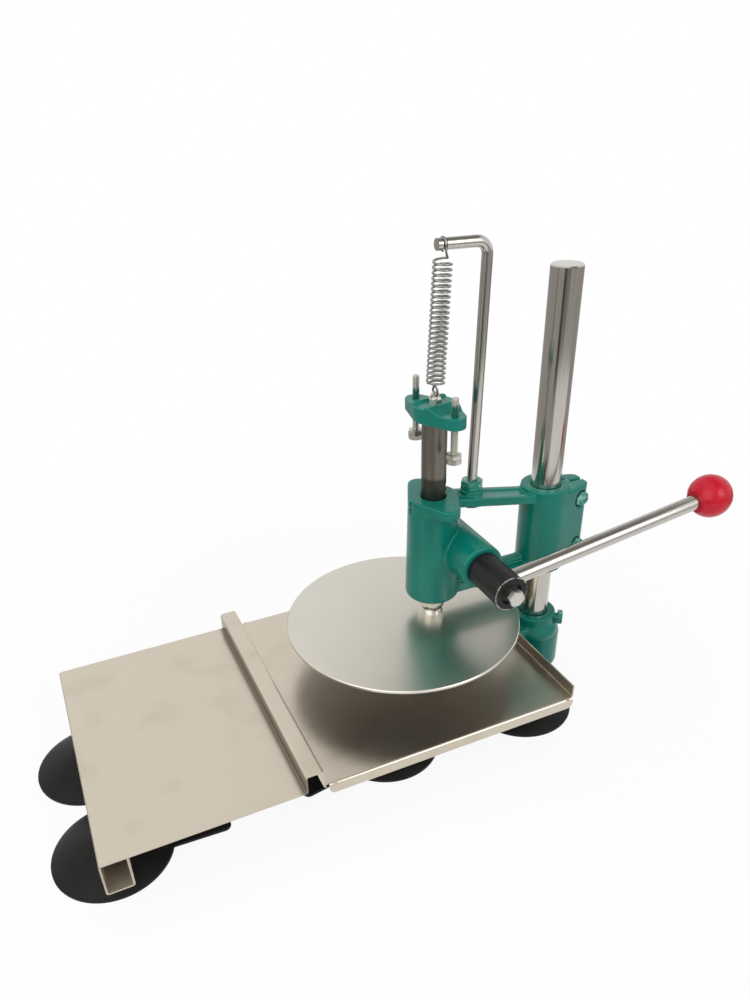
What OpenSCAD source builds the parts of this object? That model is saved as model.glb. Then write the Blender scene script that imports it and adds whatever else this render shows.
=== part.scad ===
// Bench dough press: a rack-and-pinion hand press on a folded sheet base with suction cups.
// Millimetres. X runs from the rolling table to the column, Y to the back and Z up from the floor.
// The disc hangs at the top of its stroke and the lever rests on the column side.

/* [Base sheet] */
// Length of the rolling table, left of the bead
table_l = 164; // [130:1:220]
// Width of the base, front to back
base_w = 250; // [235:1:320]
// Thickness of the sheet
sheet_t = 1.5; // [1:0.1:2]
// Outside radius of the bends
bend_r = 2.5; // [2.1:0.1:3.5]
// Inside radius of the bends that turn upwards
fold_r = 1; // [0.5:0.1:2]
// Width of the folded leg
leg_w = 22; // [18:1:30]
// Height of the folded leg
leg_h = 33; // [27:1:45]
// Width of the bead between table and tray
bead_w = 16; // [10:1:24]
// Height of the bead
bead_h = 17.5; // [10:0.5:25]
// Length of the press tray, right of the bead
tray_l = 245.5; // [240:0.5:300]
// Height of the lip at the column end of the tray
lip_h = 11; // [6:0.5:20]
// Depth of the flanges along the front and back of the tray
flange_h = 10.5; // [6:0.5:16]
// Radius of the flanges' lower corners
flange_corner = 5; // [2:0.5:8]
// Cut-back of the flanges and the lip at the corners
corner_notch = 3; // [1:0.5:5]

/* [Suction cups] */
// Diameter of a cup's rim
cup_d = 101; // [80:1:104]
// Height of a cup
cup_h = 27; // [20:1:40]
// Thickness of the rim
cup_rim_t = 3.5; // [2:0.1:4.5]
// Diameter of a cup's neck
cup_neck_d = 30; // [24:1:36]
// Height of the straight neck above the bell
cup_neck_h = 6; // [4:0.5:8]
// Width of the flat ring that the cup stands on
cup_ring_w = 5; // [3:0.5:8]
// Depth of the hollow under a cup
cup_hollow = 3.5; // [2:0.5:6]
// Half the distance between the two cups of a pair
cup_y = 55; // [53:1:57]
// Shift of the left pair of cups towards the back
left_shift = -6; // [-7:0.5:0]
// Shift of the middle pair of cups towards the back
middle_shift = 9; // [0:0.5:10]
// Shift of the right pair of cups towards the back
right_shift = 2; // [0:0.5:4]
// Distance of the column-side cups from the tray's end
cup_inset = 8.5; // [5:0.5:14]
// Distance between the two rows of cups under the tray
cup_pitch = 147; // [110:1:155]
// Length of a pull tab past the rim
tab_l = 47; // [20:1:48]
// Width of a pull tab
tab_w = 32; // [20:1:34]
// Corner radius of a pull tab
tab_corner = 6; // [3:0.5:9]
// Direction of the front left cup's tab
tab_front = -3; // [-10:1:30]
// Direction of the back left cup's tab
tab_back = 30; // [-30:1:35]
// Direction of the middle cups' tabs
tab_middle = 190; // [180:1:200]
// Direction of the tabs at the column end
tab_tray = 150; // [145:1:155]

/* [Fasteners] */
// Thread diameter of the bolts, studs and nuts
bolt_d = 8; // [6:1:8]
// Width across flats of their heads
bolt_af = 13; // [12:0.5:14]
// Height of their heads
bolt_head_h = 5.3; // [4:0.1:6]
// Height of their nuts
nut_h = 6.5; // [5:0.1:8]
// Radial clearance of threads
thread_gap = 0.05; // [0.02:0.01:0.1]
// Thread diameter of the tray's countersunk screws
tray_screw_d = 6; // [4:0.5:6]
// Head diameter of the tray's screws
tray_screw_head = 11; // [9:0.5:12]
// Length of the tray's screws
tray_screw_l = 12; // [8:1:13]
// Distance of the tray's screws from the disc's centre, along the base
tray_screw_dx = 48; // [30:1:60]
// Distance of the tray's screws from the centre line
tray_screw_y = 28; // [26:1:34]

/* [Column and its foot] */
// Diameter of the column
col_d = 28; // [24:0.5:32]
// Height of the column's top above the floor
col_top = 411; // [400:1:520]
// Chamfer on the column's top
col_chamfer = 1; // [0.5:0.1:2]
// Distance from the tray's end to the column's centre
col_gap = 38; // [36:0.5:50]
// Radial clearance of the column in the clamp and the collar
col_fit = 0.05; // [0.02:0.01:0.1]
// Thickness of the base plate under the tray
base_t = 12; // [10:1:14]
// Margin of the base plate round the cup centres
base_margin = 17; // [15.5:0.5:20]
// Depth of the ribs under the base plate
rib_h = 16; // [8:1:19]
// Thickness of the ribs
rib_t = 9; // [6:1:12]
// Distance of the ribs' ends from the base plate's edges
rib_back = 10; // [5:1:20]
// Length of the neck under the base plate
neck_in = 30; // [20:1:50]
// Width of the neck from the base plate to the foot
neck_w = 34; // [28:1:40]
// Depth of the neck below the sheet
neck_h = 38; // [25:1:45]
// Radius of the foot block
foot_r = 25; // [22:0.5:28]
// Distance of the foot block's centre behind the column
foot_shift = 4; // [0:0.5:6]
// Gap between the foot block and the floor
foot_lift = 4; // [2:0.5:8]
// Rounding of the foot block's lower edge
foot_round = 6; // [2:0.5:10]
// Radius of the collar at its top
collar_top_r = 22.5; // [20:0.5:25]
// Radius of the collar at its foot
collar_foot_r = 26.5; // [24:0.5:29]
// Height of the band round the collar's foot
collar_bead = 6; // [4:0.5:9]
// Rounding of the collar's edges
collar_round = 1.5; // [0.5:0.1:2]
// Height of the collar above the tray's surface
collar_up = 10; // [6:0.5:20]
// Depth of the collar below the tray's surface
collar_down = 14; // [10:0.5:18]
// Height of the set screw above the tray's surface
set_screw_up = 2; // [-3:0.5:4]
// Direction of the set screw seen from above
set_screw_angle = -36; // [-60:1:0]

/* [Press head] */
// Distance from the ram to the column
throat = 120.5; // [118:0.5:140]
// Height of the ram housing
head_h = 102.3; // [98:0.1:120]
// Outside radius of the housing at its bottom
housing_low_r = 25.2; // [24:0.1:27]
// Outside radius of the housing below its pad
housing_top_r = 22.9; // [22:0.1:24]
// Rounding of the housing's lower edge
housing_round = 5; // [2:0.5:8]
// Height of the pad that the stops land on
pad_h = 9; // [7:0.5:14]
// Radius of the pad at the ram
pad_r = 22.9; // [22:0.1:25]
// Radius of the pad's ends
pad_end_r = 10.5; // [9:0.5:13]
// Distance of the pad's ends from the ram
pad_reach = 27.5; // [25:0.5:34]
// Height of the pinion above the housing's bottom
pinion_up = 50; // [44:0.5:56]
// Outside radius of the pinion barrel
barrel_r = 20.5; // [18.5:0.5:24]
// Rounding of the barrel's front edge
barrel_round = 2.5; // [1:0.5:3.5]
// Distance of the barrel's front face from the ram
barrel_front = 54.4; // [45:0.1:60]
// Distance of the rear boss's face from the ram
boss_back = 28; // [25:0.5:32]
// Radius of the rear boss
boss_r = 15; // [13:0.5:18]
// Width of both arms
arm_w = 26; // [20:1:30]
// Depth of the upper arm
arm_t = 8.2; // [7:0.1:12]
// Drop of the upper arm's top below the housing's top, at the ram
arm_drop = 0; // [0:0.5:4]
// Fall of the upper arm from the ram to the column
arm_fall = 23; // [18:0.5:28]
// Width of the groove along the upper arm
arm_groove_w = 12; // [6:0.5:16]
// Depth of the groove along the upper arm
arm_groove_h = 1.5; // [0.5:0.1:3]
// Depth of the lower arm
low_arm_h = 9.5; // [8:0.5:30]
// Thickness of the rib along the lower arm's top
low_rib_t = 9; // [6:0.5:14]
// Height of that rib at the column
low_rib_h = 7; // [4:0.5:12]
// Outside radius of the column clamp
clamp_r = 23.5; // [21:0.5:26]
// Height of the column clamp
clamp_h = 87; // [80:1:94]
// Length of the clamp's ears from the column's centre
ear_l = 42; // [40:0.5:46]
// Half thickness of the ears at their ends
ear_half = 12; // [10:0.5:14]
// Height of the ears
ear_h = 74; // [68:1:76]
// Slot between the ears
ear_slot = 2.5; // [1.5:0.1:4]
// Distance of the clamp bolts from the column's centre
clamp_bolt_x = 32.5; // [30:0.5:33]
// Height of the lower clamp bolt above the head's bottom
clamp_bolt_low = 19; // [18:0.5:28]
// Height of the upper clamp bolt above the head's bottom
clamp_bolt_high = 69.5; // [50:0.5:70]
// Diameter of the guide screws in the side of the housing
guide_d = 5; // [4:0.5:6]
// Depth of the upper guide screw below the housing's top
guide_high = 4.5; // [4:0.5:6]
// Depth of the lower guide screw below the housing's top
guide_low = 11; // [10.5:0.5:16]

/* [Ram, yoke and stops] */
// Diameter of the ram
ram_d = 22; // [21:0.5:24]
// Radial clearance of the ram and the shaft in their bores
run_fit = 0.05; // [0.02:0.01:0.09]
// Stroke of the ram
stroke = 40; // [20:0.1:42]
// Gap that is left between stops that meet
stop_gap = 0.3; // [0.2:0.05:0.5]
// Height of the yoke above the housing
yoke_up = 71.8; // [68:0.1:90]
// Thickness of the yoke's ends
yoke_t = 10; // [8:0.5:14]
// Thickness of the yoke's middle
yoke_mid_t = 15; // [14:0.5:20]
// Length of the yoke's level middle
yoke_mid_l = 21; // [20:1:24]
// Length of the slope down to each end of the yoke
yoke_slope_l = 11; // [6:1:14]
// Turn of the yoke on the ram
yoke_turn = 9; // [0:1:15]
// Radius of the yoke at the ram
yoke_r = 19; // [16:0.5:22]
// Radius of the yoke's ends
yoke_end_r = 9.5; // [8:0.5:11]
// Distance of the stop bolts from the ram
stop_y = 26.7; // [26:0.1:28]
// Thread diameter of the stop bolts
stop_d = 6; // [5:0.5:8]
// Width across flats of the stop bolts' heads and nuts
stop_af = 12; // [10:0.5:13]
// Height of the stop bolts' tips above the yoke's underside
stop_tip = 25; // [20:0.5:36]
// Height of the rear stop above the front one
stop_rear_up = 4.5; // [0:0.5:8]
// Height of the stop bolts' heads
stop_head_h = 4.5; // [4:0.1:6]
// Height of the stop bolts' lock nuts
stop_nut_h = 4; // [3:0.1:6.5]
// Thread diameter of the yoke bolt
yoke_bolt_d = 6; // [5:0.5:8]
// Width across flats of the yoke bolt's head
yoke_bolt_af = 10; // [9:0.5:11]
// Height of the yoke bolt's head
yoke_bolt_h = 4; // [3:0.5:6]
// Width of the slot for the yoke bolt's head
yoke_slot_w = 14.5; // [14.2:0.1:16]
// Depth of the slot for the yoke bolt's head
yoke_slot_h = 2; // [1:0.1:3]
// Depth of the yoke bolt in the ram
yoke_bolt_in = 18; // [12:1:24]
// Thickness of the spring eye on the yoke bolt
eye_t = 3; // [2:0.5:3]
// Width of the spring eye's rim round its hole
eye_rim = 1.5; // [1.2:0.1:2]
// Diameter of the hole in the spring eye
eye_hole = 4.4; // [3:0.1:4.6]

/* [Disc] */
// Diameter of the disc
disc_d = 220; // [160:1:221]
// Thickness of the disc
disc_t = 3; // [2:0.5:8]
// Distance of the disc's centre from the ram, away from the column
disc_offset = 31; // [30:0.5:40]
// Gap between the disc and the tray at the top of the stroke
press_gap = 45; // [41:0.5:60]
// Diameter of the ram's threaded end
ram_end_d = 14; // [12:0.5:16]
// Diameter of the washer on the disc
disc_washer_d = 21; // [20:0.5:32]
// Thickness of the washer on the disc
disc_washer_t = 2; // [1.5:0.5:4]
// Width across flats of the nut above the disc
disc_nut_af = 24; // [21:0.5:26]
// Height of the nut above the disc
disc_nut_h = 16.6; // [12:0.1:22]
// Diameter of the nut's tapered foot
disc_nut_foot = 19.5; // [17:0.5:20]
// Height of the nut's taper
disc_nut_taper = 9; // [3:0.5:10]

/* [Pinion and lever] */
// Gear module of the pinion and the rack
gear_m = 2; // [1.9:0.05:2.05]
// Number of teeth on the pinion
pinion_n = 12; // [12:1:12]
// Pressure angle of the teeth
gear_pa = 25; // [22:0.5:26]
// Backlash at the pitch line
backlash = 0.3; // [0.2:0.05:0.4]
// Length of the teeth
gear_w = 18; // [17.6:0.1:20]
// Length of the rack above the pinion's axis
rack_up = 66; // [56:1:80]
// Length of the rack below the pinion's axis
rack_down = 16; // [13:1:30]
// Diameter of the shaft's rear journal
journal_d = 16; // [12:0.5:17]
// Diameter of the shaft's head
shaft_head_d = 31; // [30:0.5:36]
// Length of the shaft's head
shaft_head_l = 45; // [40:0.5:50]
// Diameter of the recess in the head's face
shaft_recess_d = 20; // [18:0.5:24]
// Depth of the recess in the head's face
shaft_recess_h = 2.5; // [1:0.1:4]
// Distance of the lever bolt's head from the shaft's face
lever_bolt_out = 4; // [0:0.5:8]
// Diameter of the washer behind the rear boss
shaft_washer_d = 22; // [20:0.5:28]
// Thickness of the washer behind the rear boss
shaft_washer_t = 2.5; // [2:0.1:4]
// Length of the screw behind the rear boss
shaft_screw_l = 16; // [10:1:20]
// Diameter of the lever
lever_d = 14; // [11:0.5:14]
// Distance of the lever from the face of the shaft's head
lever_in = 18.5; // [16:0.5:22]
// Depth of the lever past the shaft's axis
lever_seat = 9; // [6:0.5:11]
// Length of the lever from the shaft's axis to the knob's centre
lever_l = 227; // [150:1:300]
// Angle of the lever above the level at rest
lever_rest = 7.7; // [5:0.1:10]
// Diameter of the knob
knob_d = 40; // [32:1:50]
// Diameter of the lever's threaded end
lever_end_d = 10; // [8:0.5:11]
// Depth of the lever's end past the flat of the knob
knob_seat = 18; // [12:1:22]
// Distance of the knob's flat from its centre
knob_flat = 17; // [14:0.5:18]

/* [Spring and post] */
// Diameter of the spring post
post_d = 9; // [8:0.5:10]
// Distance of the post from the ram, towards the column
post_x = 39; // [37:0.5:46]
// Height of the post's arm above the housing
post_up = 207.8; // [195:0.1:260]
// Centreline radius of the post's bend
post_bend = 10; // [8:0.5:18]
// Overhang of the arm past the ram
post_over = 1; // [0:0.5:6]
// Lean of the post towards the column
post_lean = 1.4; // [0:0.1:2]
// Depth of the shoulder above the post's thread
post_step = 0.5; // [0.3:0.1:1]
// Length of the thread's root inside the bar
post_root = 4; // [2:0.5:6]
// Height of the boss under the post's nut, below the housing's top
post_boss_drop = 1.7; // [0:0.1:6]
// Radius of that boss
post_boss_r = 10.5; // [9.5:0.5:12]
// Depth of the post in its boss
post_in = 14; // [8:0.5:15]
// Thickness of the boss below the post
post_floor = 2; // [1.5:0.5:6]
// Width across flats of the post's nut
post_nut_af = 18; // [16:0.5:19]
// Height of the post's nut
post_nut_h = 8; // [6:0.5:12]
// Place of the spring's groove along the arm, from the ram
groove_x = 4.5; // [4:0.5:12]
// Depth of the spring's groove
groove_depth = 0.9; // [0.5:0.1:1.2]
// Diameter of the spring's wire
wire_d = 1.8; // [1.2:0.1:1.8]
// Outside diameter of the spring
spring_d = 16; // [12:0.5:17]
// Number of turns
spring_turns = 24; // [16:1:28]
// Centreline radius of the spring's lower hook
low_hook_r = 3.9; // [3.6:0.1:5]
// Height of the wire's rise from the lower hook to the turns
low_hook_rise = 2; // [2:0.5:8]
// Height of the wire's rise from the turns to the upper hook
high_hook_rise = 7; // [4:0.5:10]
// Clearance of the hooks
hook_gap = 0.3; // [0.2:0.05:0.5]

/* [Hidden] */
$fn = 96;
thread_r = bolt_d / 2 + thread_gap;
quarter = 90;
hair = 0.01;
spot_depth = 0.5;

// Height levels, from the floor
table_z = cup_h + leg_h;
under_z = table_z - sheet_t;
disc_z = table_z + press_gap;
washer_z = disc_z + disc_t;
disc_nut_z = washer_z + disc_washer_t;
ram_z = disc_nut_z + disc_nut_h;
head_z = ram_z + stop_gap;
head_top = head_z + head_h;
pad_z = head_top - pad_h;
pinion_z = head_z + pinion_up;
clamp_top = head_z + clamp_h;
yoke_z = head_top + yoke_up;
stop_z = head_top + stroke + stop_gap;
arm_z = head_top + post_up;
boss_z = head_top - post_boss_drop;

// Gear sizes
pinion_pr = gear_m * pinion_n / 2;
pinion_tip = pinion_pr + gear_m;
pinion_root = pinion_pr - 1.25 * gear_m;
rack_pitch = PI * gear_m;
rack_line = ram_d / 2 - gear_m;
rack_root = rack_line - 1.3 * gear_m;
rack_out = ram_d / 2 + 1;
pinion_dx = rack_line + pinion_pr;

// Places along X: the part's box is centred on the origin
reach_left = leg_w / 2 - cup_d / 2;
col_rel = table_l + bead_w + tray_l + col_gap;
reach_right = col_rel - throat + pinion_dx + lever_l * cos(lever_rest) + knob_d / 2;
edge_x = -(reach_left + reach_right) / 2;
bead_x = edge_x + table_l;
tray_x = bead_x + bead_w;
tray_end = tray_x + tray_l;
col_x = tray_end + col_gap;
ram_x = col_x - throat;
disc_x = ram_x - disc_offset;
pinion_x = ram_x + pinion_dx;
cup_xs = [edge_x + leg_w / 2, tray_end - cup_inset - cup_pitch, tray_end - cup_inset];
cup_shifts = [left_shift, middle_shift, right_shift];
cup_at = [for (i = [0:2]) for (side = [-1, 1]) [cup_xs[i], side * cup_y + cup_shifts[i]]];
tab_angles = [tab_front, tab_back, tab_middle, tab_middle, tab_tray, tab_tray];
tray_screws_xy = [for (sx = [-1, 1]) for (sy = [-1, 1]) [disc_x + sx * tray_screw_dx, sy * tray_screw_y]];
clamp_seat = ear_half - spot_depth;
clamp_bolt_z = [head_z + clamp_bolt_low, head_z + clamp_bolt_high];
guide_z = [head_top - guide_high, head_top - guide_low];

// Places along Y
head_face_y = -barrel_front - stop_gap;
shaft_face_y = head_face_y - shaft_head_l;
lever_y = shaft_face_y + lever_in;

// Spring: its wire runs from the lower hook through the turns to the upper hook
wire_r = wire_d / 2;
coil_r = (spring_d - wire_d) / 2;
post_thread_d = post_d - 2 * post_step;
groove_r = post_d / 2 - groove_depth;
high_hook_r = groove_r + wire_r + hook_gap;
yoke_seat = yoke_z + yoke_mid_t - yoke_slot_h;
eye_z = yoke_seat + yoke_bolt_h + eye_hole / 2 + hair;
eye_r = eye_hole / 2 + eye_rim;
low_hook_z = eye_z + low_hook_r;
coil_z0 = low_hook_z + low_hook_r + low_hook_rise;
coil_z1 = arm_z - high_hook_r - high_hook_rise;
spring_top_x = ram_x + groove_x;
ring_sides = 6;
turn_rings = 8;
hook_rings = 24;

// A quarter of a flat ring, from its first axis to its second
module quarter_ring(r_out, thick, turn) {
    rotate(turn) intersection() {
        difference() {
            circle(r_out);
            circle(r_out - thick);
        }
        square(r_out);
    }
}

// A hexagonal prism, standing on the origin
module hex_prism(af, h) {
    cylinder(d = af / cos(30), h = h, $fn = 6);
}

// A hexagon bolt whose head stands below the origin and whose shank stands above it
module hex_bolt(shank_l, head_h = bolt_head_h, af = bolt_af, d = bolt_d) {
    translate([0, 0, -head_h]) hex_prism(af, head_h);
    translate([0, 0, -hair]) cylinder(d = d, h = shank_l + hair);
}

// A hexagon nut, standing on the origin
module hex_nut(af, h, bore) {
    difference() {
        hex_prism(af, h);
        translate([0, 0, -1]) cylinder(d = bore, h = h + 2);
    }
}

// A lozenge with round ends: a large circle with two smaller ones along Y, and their tangents
module lozenge(mid_r, end_r, reach) {
    lean = asin((mid_r - end_r) / reach);
    circle(mid_r);
    for (turn = [0, 2 * quarter]) rotate(turn) {
        translate([0, reach]) circle(end_r);
        polygon([
            [-mid_r * cos(lean), mid_r * sin(lean)],
            [mid_r * cos(lean), mid_r * sin(lean)],
            [end_r * cos(lean), reach + end_r * sin(lean)],
            [-end_r * cos(lean), reach + end_r * sin(lean)]]);
    }
}

// Points of an arc
function arc(centre, r, from, to, steps = 6) =
    [for (i = [0:steps]) let (a = from + (to - from) * i / steps) centre + r * [cos(a), sin(a)]];

// Extrude a shape drawn in X and Z along Y
module along_y(from, to) {
    translate([0, to, 0]) rotate([90, 0, 0]) linear_extrude(to - from) children();
}

// Cross-section of the leg, the table and the bead, from the table's edge
module table_profile() {
    translate([leg_w - sheet_t, cup_h + bend_r]) square([sheet_t, leg_h - sheet_t - bend_r]);
    translate([leg_w - bend_r, cup_h + bend_r]) quarter_ring(bend_r, sheet_t, -quarter);
    translate([bend_r, cup_h]) square([leg_w - 2 * bend_r, sheet_t]);
    translate([bend_r, cup_h + bend_r]) quarter_ring(bend_r, sheet_t, 2 * quarter);
    translate([0, cup_h + bend_r]) square([sheet_t, leg_h - 2 * bend_r]);
    translate([bend_r, table_z - bend_r]) quarter_ring(bend_r, sheet_t, quarter);
    translate([bend_r, under_z]) square([table_l - bend_r - fold_r, sheet_t]);
    translate([table_l - fold_r, table_z + fold_r]) quarter_ring(fold_r + sheet_t, sheet_t, -quarter);
    wall_h = bead_h - fold_r - bend_r;
    translate([table_l, table_z + fold_r]) square([sheet_t, wall_h]);
    translate([table_l + bend_r, table_z + bead_h - bend_r]) quarter_ring(bend_r, sheet_t, quarter);
    translate([table_l + bend_r, table_z + bead_h - sheet_t]) square([bead_w - 2 * bend_r, sheet_t]);
    translate([table_l + bead_w - bend_r, table_z + bead_h - bend_r]) quarter_ring(bend_r, sheet_t, 0);
    translate([table_l + bead_w - sheet_t, table_z + fold_r]) square([sheet_t, wall_h]);
    translate([table_l + bead_w + fold_r, table_z + fold_r])
        quarter_ring(fold_r + sheet_t, sheet_t, 2 * quarter);
}

// One flange of the tray, at the front edge
module tray_flange() {
    from = tray_x + fold_r + corner_notch;
    to = tray_end - sheet_t - fold_r;
    low = table_z - flange_h;
    translate([from, -base_w / 2 + bend_r, table_z - bend_r]) rotate([90, 0, 90])
        linear_extrude(to - from) quarter_ring(bend_r, sheet_t, quarter);
    along_y(-base_w / 2, -base_w / 2 + sheet_t) {
        translate([from, low + flange_corner]) square([to - from, flange_h - bend_r - flange_corner]);
        translate([from + flange_corner, low]) square([to - from - 2 * flange_corner, flange_h - bend_r]);
        for (x = [from + flange_corner, to - flange_corner])
            translate([x, low + flange_corner]) circle(flange_corner);
    }
}

// Folded sheet: leg, rolling table, bead, press tray and lip
module base_sheet() {
    flat_from = tray_x + fold_r;
    flat_to = tray_end - sheet_t - fold_r;
    color("#c9c2b4") difference() {
        union() {
            translate([edge_x, 0, 0]) along_y(-base_w / 2, base_w / 2) table_profile();
            translate([flat_from, -base_w / 2 + bend_r, under_z])
                cube([flat_to - flat_from, base_w - 2 * bend_r, sheet_t]);
            tray_flange();
            mirror([0, 1, 0]) tray_flange();
            along_y(-base_w / 2 + corner_notch, base_w / 2 - corner_notch) {
                translate([flat_to, table_z + fold_r]) quarter_ring(fold_r + sheet_t, sheet_t, -quarter);
                translate([tray_end - sheet_t, table_z + fold_r]) square([sheet_t, lip_h - fold_r]);
            }
        }
        for (side = [-1, 1])
            translate([cup_xs[0], side * cup_y + left_shift, cup_h - 1])
                cylinder(r = thread_r, h = sheet_t + 2);
        tray_screw_cut();
    }
}

// Countersunk screw, head flush with the origin
module countersunk(grow) {
    cone = (tray_screw_head - tray_screw_d) / 2;
    translate([0, 0, -cone])
        cylinder(r1 = tray_screw_d / 2 + grow, r2 = tray_screw_head / 2 + grow, h = cone);
    translate([0, 0, -tray_screw_l - grow])
        cylinder(r = tray_screw_d / 2 + grow, h = tray_screw_l + grow);
}

// Room for the tray's screws
module tray_screw_cut() {
    for (xy = tray_screws_xy) translate([xy[0], xy[1], table_z]) {
        countersunk(thread_gap);
        cylinder(d = tray_screw_head + 2 * thread_gap, h = 1);
    }
}

// Screws that hold the tray to the casting
module tray_screws() {
    color("#b9b6ae") for (xy = tray_screws_xy) translate([xy[0], xy[1], table_z]) countersunk(0);
}

// Casting under the tray, with bosses for the cups and a foot and collar for the column
module cast_base() {
    plate_from = cup_xs[1] - base_margin;
    plate_to = tray_end;
    plate_half = cup_y + max(middle_shift, right_shift) + base_margin;
    plate_z = under_z - base_t;
    collar_z = table_z - collar_down;
    collar_top = table_z + collar_up;
    foot_x = col_x + foot_shift;
    color("#1f7768") difference() {
        union() {
            translate([plate_from, -plate_half, plate_z])
                cube([plate_to - plate_from, 2 * plate_half, base_t]);
            for (i = [2:5]) translate([cup_at[i][0], cup_at[i][1], cup_h])
                cylinder(r = base_margin - 2, h = plate_z - cup_h + hair);
            for (side = [-1, 1])
                translate([plate_from + rib_back, side * neck_w / 2 - rib_t / 2, plate_z - rib_h])
                    cube([plate_to - plate_from - 2 * rib_back, rib_t, rib_h + hair]);
            translate([plate_to - neck_in, -neck_w / 2, under_z - neck_h])
                cube([col_x - plate_to + neck_in, neck_w, neck_h]);
            translate([foot_x, 0, 0]) rotate_extrude() polygon(concat(
                [[0, foot_lift]],
                arc([foot_r - foot_round, foot_lift + foot_round], foot_round, -quarter, 0),
                [[foot_r, collar_z + hair], [0, collar_z + hair]]));
            translate([col_x, 0, 0]) rotate_extrude() polygon(concat(
                [[0, collar_z]],
                arc([collar_foot_r - collar_round, collar_z + collar_round], collar_round, -quarter, 0),
                [[collar_foot_r, collar_z + collar_bead], [collar_top_r, table_z]],
                arc([collar_top_r - collar_round, collar_top - collar_round], collar_round, 0, quarter),
                [[0, collar_top]]));
        }
        translate([col_x, 0, foot_lift + foot_round]) cylinder(r = col_d / 2 + col_fit, h = col_top);
        for (i = [2:5]) translate([cup_at[i][0], cup_at[i][1], cup_h - 1])
            cylinder(r = thread_r, h = stud_up() + 2);
        tray_screw_cut();
        translate([col_x, 0, table_z + set_screw_up]) rotate([0, quarter, set_screw_angle])
            cylinder(r = thread_r, h = 2 * collar_foot_r);
    }
}

// Height of the cups' studs above the cups
function stud_up() = sheet_t + nut_h + 4;

// Rubber cup with a bell-shaped back, a shallow hollow and a pull tab
module suction_cup(i) {
    rim = cup_d / 2;
    neck = cup_neck_d / 2;
    bell = cup_h - cup_rim_t - cup_neck_h;
    tab_end = rim + tab_l - tab_corner;
    color("#1a1a1b") translate([cup_at[i][0], cup_at[i][1], 0]) difference() {
        rotate(tab_angles[i]) union() {
            rotate(2 * quarter) rotate_extrude() polygon(concat(
                [[0, 0], [rim, 0], [rim, cup_rim_t]],
                [for (k = [1:8]) let (u = k / 8) [rim + (neck - rim) * (1 - cos(quarter * u)) * 0.35
                    + (neck - rim) * u * 0.65, cup_rim_t + bell * u]],
                [[neck, cup_h], [0, cup_h]]));
            translate([0, -tab_w / 2, 0]) cube([tab_end, tab_w, cup_rim_t]);
            translate([0, tab_corner - tab_w / 2, 0])
                cube([rim + tab_l, tab_w - 2 * tab_corner, cup_rim_t]);
            for (side = [-1, 1]) translate([tab_end, side * (tab_w / 2 - tab_corner), 0])
                cylinder(r = tab_corner, h = cup_rim_t);
        }
        translate([0, 0, -hair]) cylinder(r1 = rim - cup_ring_w, r2 = neck, h = cup_hollow);
        translate([0, 0, cup_h - stud_in()]) cylinder(r = thread_r, h = stud_in() + 1);
    }
}

// Depth of the studs in the cups
function stud_in() = cup_h / 2;

// Threaded studs of the cups
module cup_studs() {
    color("#a8a89a") for (at = cup_at) translate([at[0], at[1], cup_h - stud_in()])
        cylinder(d = bolt_d, h = stud_in() + stud_up());
}

// Nuts of the two cups in the leg
module cup_nuts() {
    color("#a8a89a") for (i = [0, 1]) translate([cup_at[i][0], cup_at[i][1], cup_h + sheet_t])
        hex_nut(bolt_af, nut_h, 2 * thread_r);
}

// Round column, standing in the foot
module column() {
    from = foot_lift + foot_round;
    color("#b5b2ac") translate([col_x, 0, 0]) rotate_extrude() polygon([
        [0, from], [col_d / 2, from], [col_d / 2, col_top - col_chamfer],
        [col_d / 2 - col_chamfer, col_top], [0, col_top]]);
}

// Set screw that locks the column in its collar
module foot_set_screw() {
    head_at = collar_top_r + 2.5;
    shank = head_at - col_d / 2 - stop_gap;
    color("#7fb3a2") translate([col_x, 0, table_z + set_screw_up]) rotate([0, quarter, set_screw_angle])
        translate([0, 0, head_at]) rotate([2 * quarter, 0, 0]) hex_bolt(shank);
}

// Lower arm: a flat bar with a rib that rises to the clamp
module lower_arm() {
    low_top = head_z + low_arm_h;
    translate([ram_x, -arm_w / 2, head_z]) cube([throat, arm_w, low_arm_h]);
    along_y(-low_rib_t / 2, low_rib_t / 2)
        polygon([
            [ram_x, low_top - 1], [col_x, low_top - 1], [col_x, low_top + low_rib_h], [ram_x, low_top]]);
}

// Upper arm: slopes down to the clamp, with a groove along its top
module upper_arm() {
    from_z = head_top - arm_drop;
    to_z = from_z - arm_fall;
    difference() {
        along_y(-arm_w / 2, arm_w / 2)
            polygon([[ram_x, from_z], [col_x, to_z], [col_x, to_z - arm_t], [ram_x, from_z - arm_t]]);
        along_y(-arm_groove_w / 2, arm_groove_w / 2) polygon([
            [ram_x, from_z + 1], [col_x, to_z + 1],
            [col_x, to_z - arm_groove_h], [ram_x, from_z - arm_groove_h]]);
    }
}

// Ears of the column clamp, drawn in plan from the column's centre
module clamp_ears() {
    lean = asin((clamp_r - ear_half) / ear_l);
    polygon([
        [clamp_r * sin(lean), clamp_r * cos(lean)], [ear_l - 4, ear_half + 1], [ear_l, ear_half - 3],
        [ear_l, -ear_half + 3], [ear_l - 4, -ear_half - 1], [clamp_r * sin(lean), -clamp_r * cos(lean)]]);
}

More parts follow.
